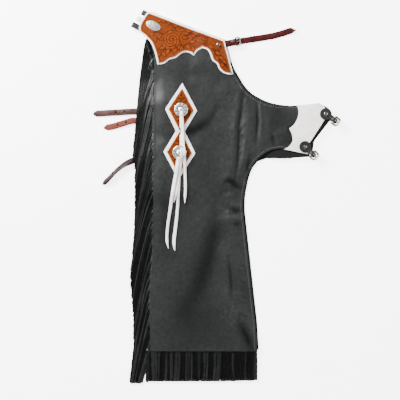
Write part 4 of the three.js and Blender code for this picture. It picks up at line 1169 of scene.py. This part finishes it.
def local_frame(x, y, z, turn, up):
    """A function that places points of a buckle's own axes in the frame, in metres."""
    a = math.radians(turn)

    def place(points):
        p = np.asarray(points, float) * MM
        return np.c_[x + p[:, 0] * math.cos(a) - p[:, 1] * math.sin(a),
                     y + p[:, 0] * math.sin(a) + p[:, 1] * math.cos(a), z + p[:, 2] * up]
    return place


def band_along(place, line, section, scales=None):
    """A section carried along a line of a buckle's own axes, its width across the buckle."""
    across = place([(0, 1, 0)]) - place([(0, 0, 0)])
    return sweep(place(line), np.repeat(across, len(line), 0), section, scales)


def buckle_parts(place, stretch=1.0):
    """A heel-bar buckle: a rounded frame, its prong and the prong's eye round the bar."""
    far, half = 15.8 * stretch, 9.9
    round_far, round_near = 5.0 * stretch, 2.2
    path = []
    for cx, cy, r, start in ((far - round_far, half - round_far, round_far, 90),
                             (far - round_far, round_far - half, round_far, 0),
                             (round_near, round_near - half, round_near, -90),
                             (round_near, half - round_near, round_near, -180)):
        for k in range(7):
            a = math.radians(start - 90 * k / 6)
            path.append((cx + r * math.cos(a), cy + r * math.sin(a), 0))
    dense = []
    for a, b in zip(path, path[1:] + path[:1]):
        a, b = np.array(a), np.array(b)
        n = max(1, int(np.linalg.norm(b - a) / 1.6))
        dense += [a + (b - a) * t / n for t in range(n)]
    dense = place(dense)
    frame_part = sweep(dense, dense - dense.mean(0), round_section(3.8 * MM, 2.9 * MM, 12),
                       closed=True)
    prong_line = [(-0.6, 0, 1.9), (2.2, 0, 2.3), (6, 0, 1.7), (11 * stretch, 0, 1.5),
                  (14.2 * stretch, 0, 1.9), (16.4 * stretch, 0, 1.7)]
    prong = band_along(place, smooth_run(prong_line, 20), round_section(2.3 * MM, 1.5 * MM, 10),
                       np.linspace(1.1, 0.75, 20))
    ring = [(1.9 * math.cos(t) - 0.1, 0, 1.9 * math.sin(t)) for t in
            np.linspace(0.6, 2 * math.pi - 0.2, 14)]
    return [frame_part, prong, band_along(place, ring, round_section(2.3 * MM, 1.0 * MM, 8))]


class CHAPS_OT_flaps(bpy.types.Operator):
    """Makes the white thigh patches, the black tabs and their buckles"""
    bl_idname = "chaps.flaps"
    bl_label = "Thigh flaps"

    def execute(self, context):
        for leg in legs():
            white_layer(leg, "white_patch", "thigh_patch", 2.5, corner=24)
            for name, heel in TAB_HEELS.items():
                self.tab(leg, name, *heel)
                rivet_cap(leg, f"tab_rivet_{name}", chosen("trim").rivet)
        return {"FINISHED"}

    def tab(self, leg, name, across, down, turn):
        low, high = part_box(leg.node(f"buckle_tab_{name}"))
        level = (low.z + high.z) / 2
        place = local_frame(*pattern(across, down), level, turn, leg.up)
        # A round end, reach behind the heel bar, and a neck of half width neck up to the bar.
        # The bar lies above the tab's underside.
        radius, neck, reach, bar, thick = 15.5, 7.6, 25.0, 4.1, 3.0
        start = math.asin(neck / radius)
        arc = np.linspace(start, 2 * math.pi - start, 64)
        ring = [(radius * math.cos(t) - reach, radius * math.sin(t), 0) for t in arc]
        for side in (-1, 1):
            run = np.linspace(-reach + radius * math.cos(start), 0, 9)[1:]
            edge = [(u, side * (neck - 0.5 * math.sin(math.pi * i / 9)), 0)
                    for i, u in enumerate(run)]
            ring += edge if side < 0 else edge[::-1]
        flat = place(ring)[:, :2]
        if area_of(flat) < 0:
            flat = flat[::-1]
        top = level + leg.up * (thick - bar) * MM

        def crease(x, y):
            edge = depth_inside(x, y, flat) / MM
            return -0.35 * bell(edge - 2.4, 0.6), 0 * edge

        tab = skin(leg, f"tab_{name}", f"buckle_tab_{name}", flat, lambda x, y: top + 0 * x,
                   thick, 1.6, finish("hide"), crease)
        loop = [(-11, -1.0, 0), (-6, -0.2, 0), (-2.6, 2.2, 0), (0, 3.2, 0), (2.3, 2.2, 0),
                (3.2, 0, 0), (2.3, -2.2, 0), (0, -3.0, 0), (-4, -3.1, 0)]
        parts = [band_along(place, smooth_run(loop, 40)[:, [0, 2, 1]],
                            band_section(12.4 * MM, 1.6 * MM))]
        # The lower ply goes on under the buckle as a short chafe.
        far = np.linspace(-6, 12, 24)
        taper = np.sqrt(np.clip(1 - (np.clip(far - 7, 0, 5) / 5.4) ** 2, 0, 1))
        parts.append(band_along(place, [(u, 0, -3.2) for u in far],
                                band_section(12.0 * MM, 1.4 * MM), taper))
        points, faces = joined(parts)
        fold = made(leg.node(f"tab_fold_{name}"), points, faces, finish("hide"))
        points, faces = joined(buckle_parts(place))
        buckle = made(leg.node(f"nickel_buckle_{name}"), points, faces, finish("nickel"),
                      replaces=[leg.node(f"buckle_{name}")])


def drift(lane, run, kind):
    """Slow wandering between about -1 and 1 along a run, the same each time."""
    return np.array([noise.noise(Vector((lane, t, 3.7 + kind))) * 1.6 for t in run])


class CHAPS_OT_fringe(bpy.types.Operator):
    """Makes the long side fringe and the short hem fringe, strip by strip"""
    bl_idname = "chaps.fringe"
    bl_label = "Fringe"

    def execute(self, context):
        fringe = chosen("fringe")
        for leg in legs():
            for name, (parts, tones) in (("side_fringe", self.side(leg, fringe)),
                                         ("hem_fringe", self.hem(leg, fringe))):
                points, faces = joined(parts)
                # Each strip's tone is painted highlight or painted shade, carried in the dye mark.
                dye = np.concatenate([np.full(len(p), tone) for (p, _), tone in zip(parts, tones)])
                piece = made(leg.node(name) + "_strips", above_floor(points), faces,
                             finish("fringe"), dye, replaces=[leg.node(name)])
        return {"FINISHED"}

    # Places of the side fringe's first and last strip, down the seam, and how far past the
    # first one the yoke's corner still hangs over the strips.
    first, last, corner = 66, 884, 120
    # Where the tips of the side fringe come to lie: down the leg and across from the seam.
    tips = ((290, -48), (297, -40), (345, -45), (396, -49), (400, -42), (493, -43), (573, -44),
            (660, -52), (697, -56), (776, -49), (871, -46), (926, -51), (966, -56), (1130, -61))
    # Where the hem fringe starts, across, its width, and how far it is sewn on above the hem.
    hem_start, hem_width, sewn = -9, 287, 7
    # Shares of the strips that have turned toward the light and are painted lighter, a painted
    # highlight, and how far they turn, in degrees.
    side_lit, hem_lit, lit_turn = 0.36, 0.42, 22

    def side(self, leg, fringe):
        envelope = Heights([leg.node("side_fringe")], 1, blur=9.0)
        under = Heights([leg.node("side_fringe")], -1, blur=9.0)
        dice = random.Random(5 if leg.up > 0 else 6)
        left = leg.ring[leg.ring[:, 0] < SEAM + 30 * MM]
        order = np.argsort(left[:, 1])
        bottom = TOP - (HEM + fringe.hem_length + 3) * MM
        tip_down, tip_across = np.transpose(self.tips)
        parts, tones = [], []
        for i in range(fringe.side_strips):
            down = self.first + (self.last - self.first) * i / (fringe.side_strips - 1)
            down += dice.uniform(-1.5, 1.5)
            y0 = TOP - down * MM
            x0 = float(np.interp(y0, left[order, 1], left[order, 0])) + 5 * MM
            # The first strips are sewn on further out, where the yoke's corner hangs over.
            upper = float(np.clip(1 - (down - self.first) / self.corner, 0, 1))
            x0 -= 6 * upper * MM
            long = (fringe.side_length + dice.uniform(-4, 3)) * MM
            drop = 0.975 * long
            tip = SEAM + float(np.interp(down + drop / MM, tip_down, tip_across)) * MM
            tip += (fringe.strip / 2 + dice.uniform(0, 2.5)) * MM
            if leg.up < 0:
                tip += 4 * MM
            s = np.linspace(0, min(1, (y0 - bottom - dice.uniform(-2, 1) * MM) / drop), 30)
            # No strip is left where the hem cuts it off this short.
            if s[-1] < 0.12:
                continue
            gather = drift(i * 0.1, 1.5 * s, 1) * 3.0 * MM
            own = drift(i * 1.7, 1.8 * s, 5) * 1.3 * MM
            # A strip leaves the seam at a wide angle and then hangs nearly straight.
            x = x0 + (tip - x0) * s ** (0.68 - 0.2 * upper)
            x += (gather + own) * np.clip(3 * s, 0, 1) * (1 - s)
            y = y0 - drop * s
            room = np.maximum(envelope(x, y) - under(x, y), 2 * MM)
            layer = 0.5 + 0.5 * drift(i * 0.21, 1.2 * s, 9)
            depth = (1.4 + 0.22 * room / MM * np.clip(layer, 0, 1)) * MM
            z = envelope(x, y) - depth + 1.2 * MM * np.clip(1 - s * 8, 0, 1)
            lit = dice.random() < self.side_lit * (1 - 0.7 * upper)
            turned = self.lit_turn if lit else -13 - 28 * upper
            # Strips turned to the light are painted lighter, a painted highlight; the others keep
            # the fringe's darkest tone, a painted shade.
            tones.append(dice.uniform(0.0, 0.45) if lit else 1.0)
            bank = np.radians(turned + 16 * drift(i * 0.27, 1.3 * s, 13)
                              + 14 * drift(i * 1.9, 0.9 * s, 17))
            parts.append(self.strip(x, y, z, bank * np.clip(s * 6, 0.1, 1), fringe))
        return parts, tones

    def hem(self, leg, fringe):
        envelope = Heights([leg.node("hem_fringe")], 1)
        dice = random.Random(8 if leg.up > 0 else 9)
        low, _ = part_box(leg.node("hem_fringe"))
        y0 = TOP - (HEM - self.sewn) * MM
        s = np.linspace(0, 1, 12)
        parts, tones = [], []
        for i in range(fringe.hem_strips):
            share = (i + 0.5) / fringe.hem_strips
            x0 = SEAM + (self.hem_start + self.hem_width * share + dice.uniform(-0.5, 0.5)) * MM
            long = (fringe.hem_length + 9 - 5 * share ** 2 + dice.uniform(-1.2, 0.6)) * MM
            lean = math.radians(dice.gauss(0.4, 0.7) + (1 - share) * 1.0)
            wander = drift(i * 0.3, 1.2 * s, 21) * 1.6 * MM
            x = x0 - long * s * math.sin(lean) + wander * np.clip(s * 2, 0, 1)
            y = np.maximum(y0 - long * s * math.cos(lean), low.y - 3 * MM)
            z = envelope(x, y) - (0.9 + 1.3 * dice.random()) * MM
            lit = dice.random() < self.hem_lit
            turned = self.lit_turn if lit else -6
            # Strips turned to the light are painted lighter, a painted highlight; the others keep
            # the fringe's darkest tone, a painted shade.
            tones.append(dice.uniform(0.3, 0.7) if lit else 1.0)
            bank = np.radians(turned + 14 * drift(i * 0.7, 1.6 * s, 25)
                              + 10 * drift(i * 2.3, 0.8 * s, 29))
            parts.append(self.strip(x, y, z, bank * np.clip(s * 4, 0.1, 1), fringe, 1.5))
        return parts, tones

    def strip(self, x, y, z, bank, fringe, widen=1.0):
        path = np.c_[x, y, z]
        along = unit(np.gradient(path[:, :2], axis=0))
        flat = np.c_[-along[:, 1], along[:, 0]]
        side = np.c_[flat * np.cos(bank)[:, None], np.sin(bank)]
        width = fringe.strip * widen * MM
        return sweep(path, side, band_section(width, fringe.leather * MM))


class CHAPS_OT_straps(bpy.types.Operator):
    """Makes the four thigh straps and the two front straps"""
    bl_idname = "chaps.straps"
    bl_label = "Straps"

    # Node, finish, holes from the tip in millimetres, and whether the tip is at high x.
    rows = (
        ("right_thigh_strap_upper", "mauve", (60, 83), False),
        ("left_thigh_strap_upper", "flesh", (39, 62), False),
        ("right_thigh_strap_lower", "greased burgundy", (40, 63), False),
        ("left_thigh_strap_lower", "flesh", (), False),
        ("front_strap", "burgundy", (), True),
    )

    def execute(self, context):
        trim, leather = chosen("trim"), chosen("leather")
        count = 90
        for node, look, holes, far_tip in self.rows:
            rows = slices(node)
            line = smooth_run(rows if far_tip else rows[::-1], count)
            # The slices stop a little short of the tip.
            line[-1, :3] += (line[-1, :3] - line[-2, :3]) * 0.5
            far = run_lengths(line[:, :3])
            scales = rounded_tip(count, far[-1], 14 * MM, trim.strap * MM)
            points, faces = sweep(line[:, :3], line[:, 3:], band_section(
                trim.strap * MM, leather.strap * MM), scales)
            strap = made(node + "_leather", above_floor(points), faces, finish(look),
                         replaces=[node])
            if holes:
                self.punch(strap, line, far, holes)
        self.buckle_strap(trim.strap - 1)
        return {"FINISHED"}

    def punch(self, strap, line, far, holes):
        """Punched holes: wells in the strap that stop short of its back, so nothing shows through
        them; inside they take the black flesh-side material, a painted shade.
        """
        parts = []
        for hole in holes:
            at = far[-1] - hole * MM
            centre = np.array([np.interp(at, far, line[:, k]) for k in range(3)])
            k = int(np.clip(np.searchsorted(far, at), 1, len(line) - 2))
            up = np.cross(line[k + 1, :3] - line[k - 1, :3], line[k, 3:6])
            up /= np.linalg.norm(up) * (1 if up[2] > 0 else -1)
            path = np.array([centre - up * 0.9 * MM, centre, centre + up * 4 * MM])
            parts.append(sweep(path, np.repeat([line[k, 3:6]], 3, 0),
                               round_section(4.2 * MM, 4.2 * MM, 16)))
        mesh = sound_mesh("punch", *joined(parts))
        # The walls and floor of each hole take the black flesh-side material: a painted shade for
        # the dark inside a hole.
        mesh.materials.append(finish("suede"))
        punch = placed("punch", mesh)
        cut = strap.modifiers.new("holes", "BOOLEAN")
        cut.operation, cut.object, cut.solver = "DIFFERENCE", punch, "EXACT"
        cut.material_mode = "TRANSFER"
        graph = bpy.context.evaluated_depsgraph_get()
        result = bpy.data.meshes.new_from_object(strap.evaluated_get(graph))
        strap.modifiers.clear()
        # A cut that fails leaves next to nothing: the strap then stays whole.
        if len(result.polygons) > 50:
            strap.data = result
        bpy.data.objects.remove(punch)

    def buckle_strap(self, width):
        """The short strap with its buckle: it goes round the heel bar and back."""
        low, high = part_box("front_buckle")
        turn = 9.0
        a = math.radians(turn)
        middle = Vector(((low.x + high.x) / 2, (low.y + high.y) / 2, (low.z + high.z) / 2))
        heel = middle - Vector((math.cos(a), math.sin(a), 0)) * 5.9 * MM
        place = local_frame(heel.x, heel.y, middle.z, turn, 1)
        points, faces = joined(buckle_parts(place, 0.75))
        buckle = made("front_nickel_buckle", points, faces, finish("nickel"),
                      replaces=["front_buckle"])
        path = np.array([
            (-52, -3.4, -1.6), (-40, -2.2, -1.6), (-24, -0.8, -1.6), (-12, -0.2, -1.6),
            (-5, 0, -2.6), (0, 0, -3.1), (2.4, 0, -2.2), (3.3, 0, 0), (2.4, 0, 2.3),
            (0, 0, 3.2), (-5, 0, 2.6), (-13, 0, 1.4)])
        far = run_lengths(path)
        where = np.linspace(0, far[-1], 70)
        line = np.stack([np.interp(where, far, path[:, k]) for k in range(3)], axis=1)
        for _ in range(3):
            line[1:-1] = (line[:-2] + 2 * line[1:-1] + line[2:]) / 4
        scales = np.ones(len(line))
        scales[-8:] = np.linspace(1, 0.55, 8)
        points, faces = band_along(place, line, band_section(width * MM, 1.9 * MM), scales)
        strap = made("front_buckle_strap_leather", points, faces, finish("burgundy"),
                     replaces=["front_buckle_strap"])


class CHAPS_OT_lacing(bpy.types.Operator):
    """Dresses the lacing at the back, where the two yokes meet"""
    bl_idname = "chaps.lacing"
    bl_label = "Back lacing"

    def execute(self, context):
        for name, look, slot_name in (("back_lace_upper", "hide", "black_leather"),
                                      ("back_lace_lower", "hide", "black_leather"),
                                      ("back_bridge", "white", "white_leather")):
            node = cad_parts[name]
            node.data.materials.clear()
            node.data.materials.append(finish(look))
            bevel = node.modifiers.new("soft edges", "BEVEL")
            bevel.width, bevel.segments, bevel.limit_method = 0.7 * MM, 3, "ANGLE"
            smooth_shaded(node.data)
        return {"FINISHED"}


class CHAPS_OT_stage(bpy.types.Operator):
    """Makes the floor, the lights and the camera"""
    bl_idname = "chaps.stage"
    bl_label = "Stage"

    def execute(self, context):
        mesh = bpy.data.meshes.new("floor")
        mesh.from_pydata([(-4, -4, 0), (4, -4, 0), (4, 4, 0), (-4, 4, 0)], [], [(0, 1, 2, 3)])
        floor = placed("floor", mesh)
        floor.location.z = -0.4 * MM
        white = (1, 1, 1, 1)
        material, tree, place = surface("backlit opal sheet", Roughness=0.9, Emission_Color=white,
                                        Specular_IOR_Level=0.1, Emission_Strength=4.2)
        lights = chosen("colours").floor
        mesh.materials.append(dressed(material, clouds(tree, place, 400, 2),
                                      darker(lights, 0.985), lights))
        world = bpy.data.worlds.new("studio")
        world.use_nodes = True
        world.node_tree.nodes["Background"].inputs["Color"].default_value = white
        world.node_tree.nodes["Background"].inputs["Strength"].default_value = 0.3
        context.scene.world = world
        # Square lamps that point at the middle: place, width in metres, power in watts.
        for name, spot, wide, power in (("key", (-1.4, 1.4, 1.45), 1.0, 235),
                                        ("fill", (1.8, 0.3, 1.6), 1.6, 40),
                                        ("low fill", (-0.3, -2.0, 1.4), 1.4, 30)):
            lamp = bpy.data.lights.new(name, "AREA")
            lamp.shape, lamp.size, lamp.energy = "SQUARE", wide, power
            light = placed(name, lamp)
            light.location = spot
            light.rotation_mode = "QUATERNION"
            light.rotation_quaternion = (-Vector(spot)).to_track_quat("-Z", "Y")
        data = bpy.data.cameras.new("camera")
        camera = placed("camera", data)
        # Straight above the pair, in metres: a square view that takes in 1.04 m across at the
        # height of the upper leg.
        height, leg_height, covered = 3.0, 0.025, 1.04
        data.sensor_width = 36
        data.lens = data.sensor_width * (height - leg_height) / covered
        data.clip_start, data.clip_end = 0.05, 50
        camera.location = (*map(float, pattern(130, 491.4)), height)
        context.scene.camera = camera
        return {"FINISHED"}


GROUPS = (("colours", ChapsColours), ("leather", ChapsLeather), ("fringe", ChapsFringe),
          ("trim", ChapsTrim))
OPERATORS = (CHAPS_OT_stage, CHAPS_OT_legs, CHAPS_OT_yokes, CHAPS_OT_diamonds, CHAPS_OT_flaps,
             CHAPS_OT_fringe, CHAPS_OT_straps, CHAPS_OT_lacing)


class CHAPS_PT_panel(bpy.types.Panel):
    """Sizes, colours and pieces of the chaps"""
    bl_idname = "CHAPS_PT_panel"
    bl_label = "Fringed chaps"
    bl_space_type = "VIEW_3D"
    bl_region_type = "UI"
    bl_category = "Chaps"

    def draw(self, context):
        for name, group in GROUPS:
            column = self.layout.column(align=True)
            column.label(text=name.capitalize())
            for key in group.__annotations__:
                column.prop(getattr(context.scene, "chaps_" + name), key)
        for operator in OPERATORS:
            self.layout.operator(operator.bl_idname)


def register():
    for _, group in GROUPS:
        bpy.utils.register_class(group)
    for operator in OPERATORS:
        bpy.utils.register_class(operator)
    bpy.utils.register_class(CHAPS_PT_panel)
    for name, group in GROUPS:
        setattr(bpy.types.Scene, "chaps_" + name, PointerProperty(type=group))


def unregister():
    for name, _ in GROUPS:
        delattr(bpy.types.Scene, "chaps_" + name)
    bpy.utils.unregister_class(CHAPS_PT_panel)
    for operator in reversed(OPERATORS):
        bpy.utils.unregister_class(operator)
    for _, group in reversed(GROUPS):
        bpy.utils.unregister_class(group)


def main():
    register()
    for operator in OPERATORS:
        group, name = operator.bl_idname.split(".")
        getattr(getattr(bpy.ops, group), name)()


if __name__ == "__main__":
    main()
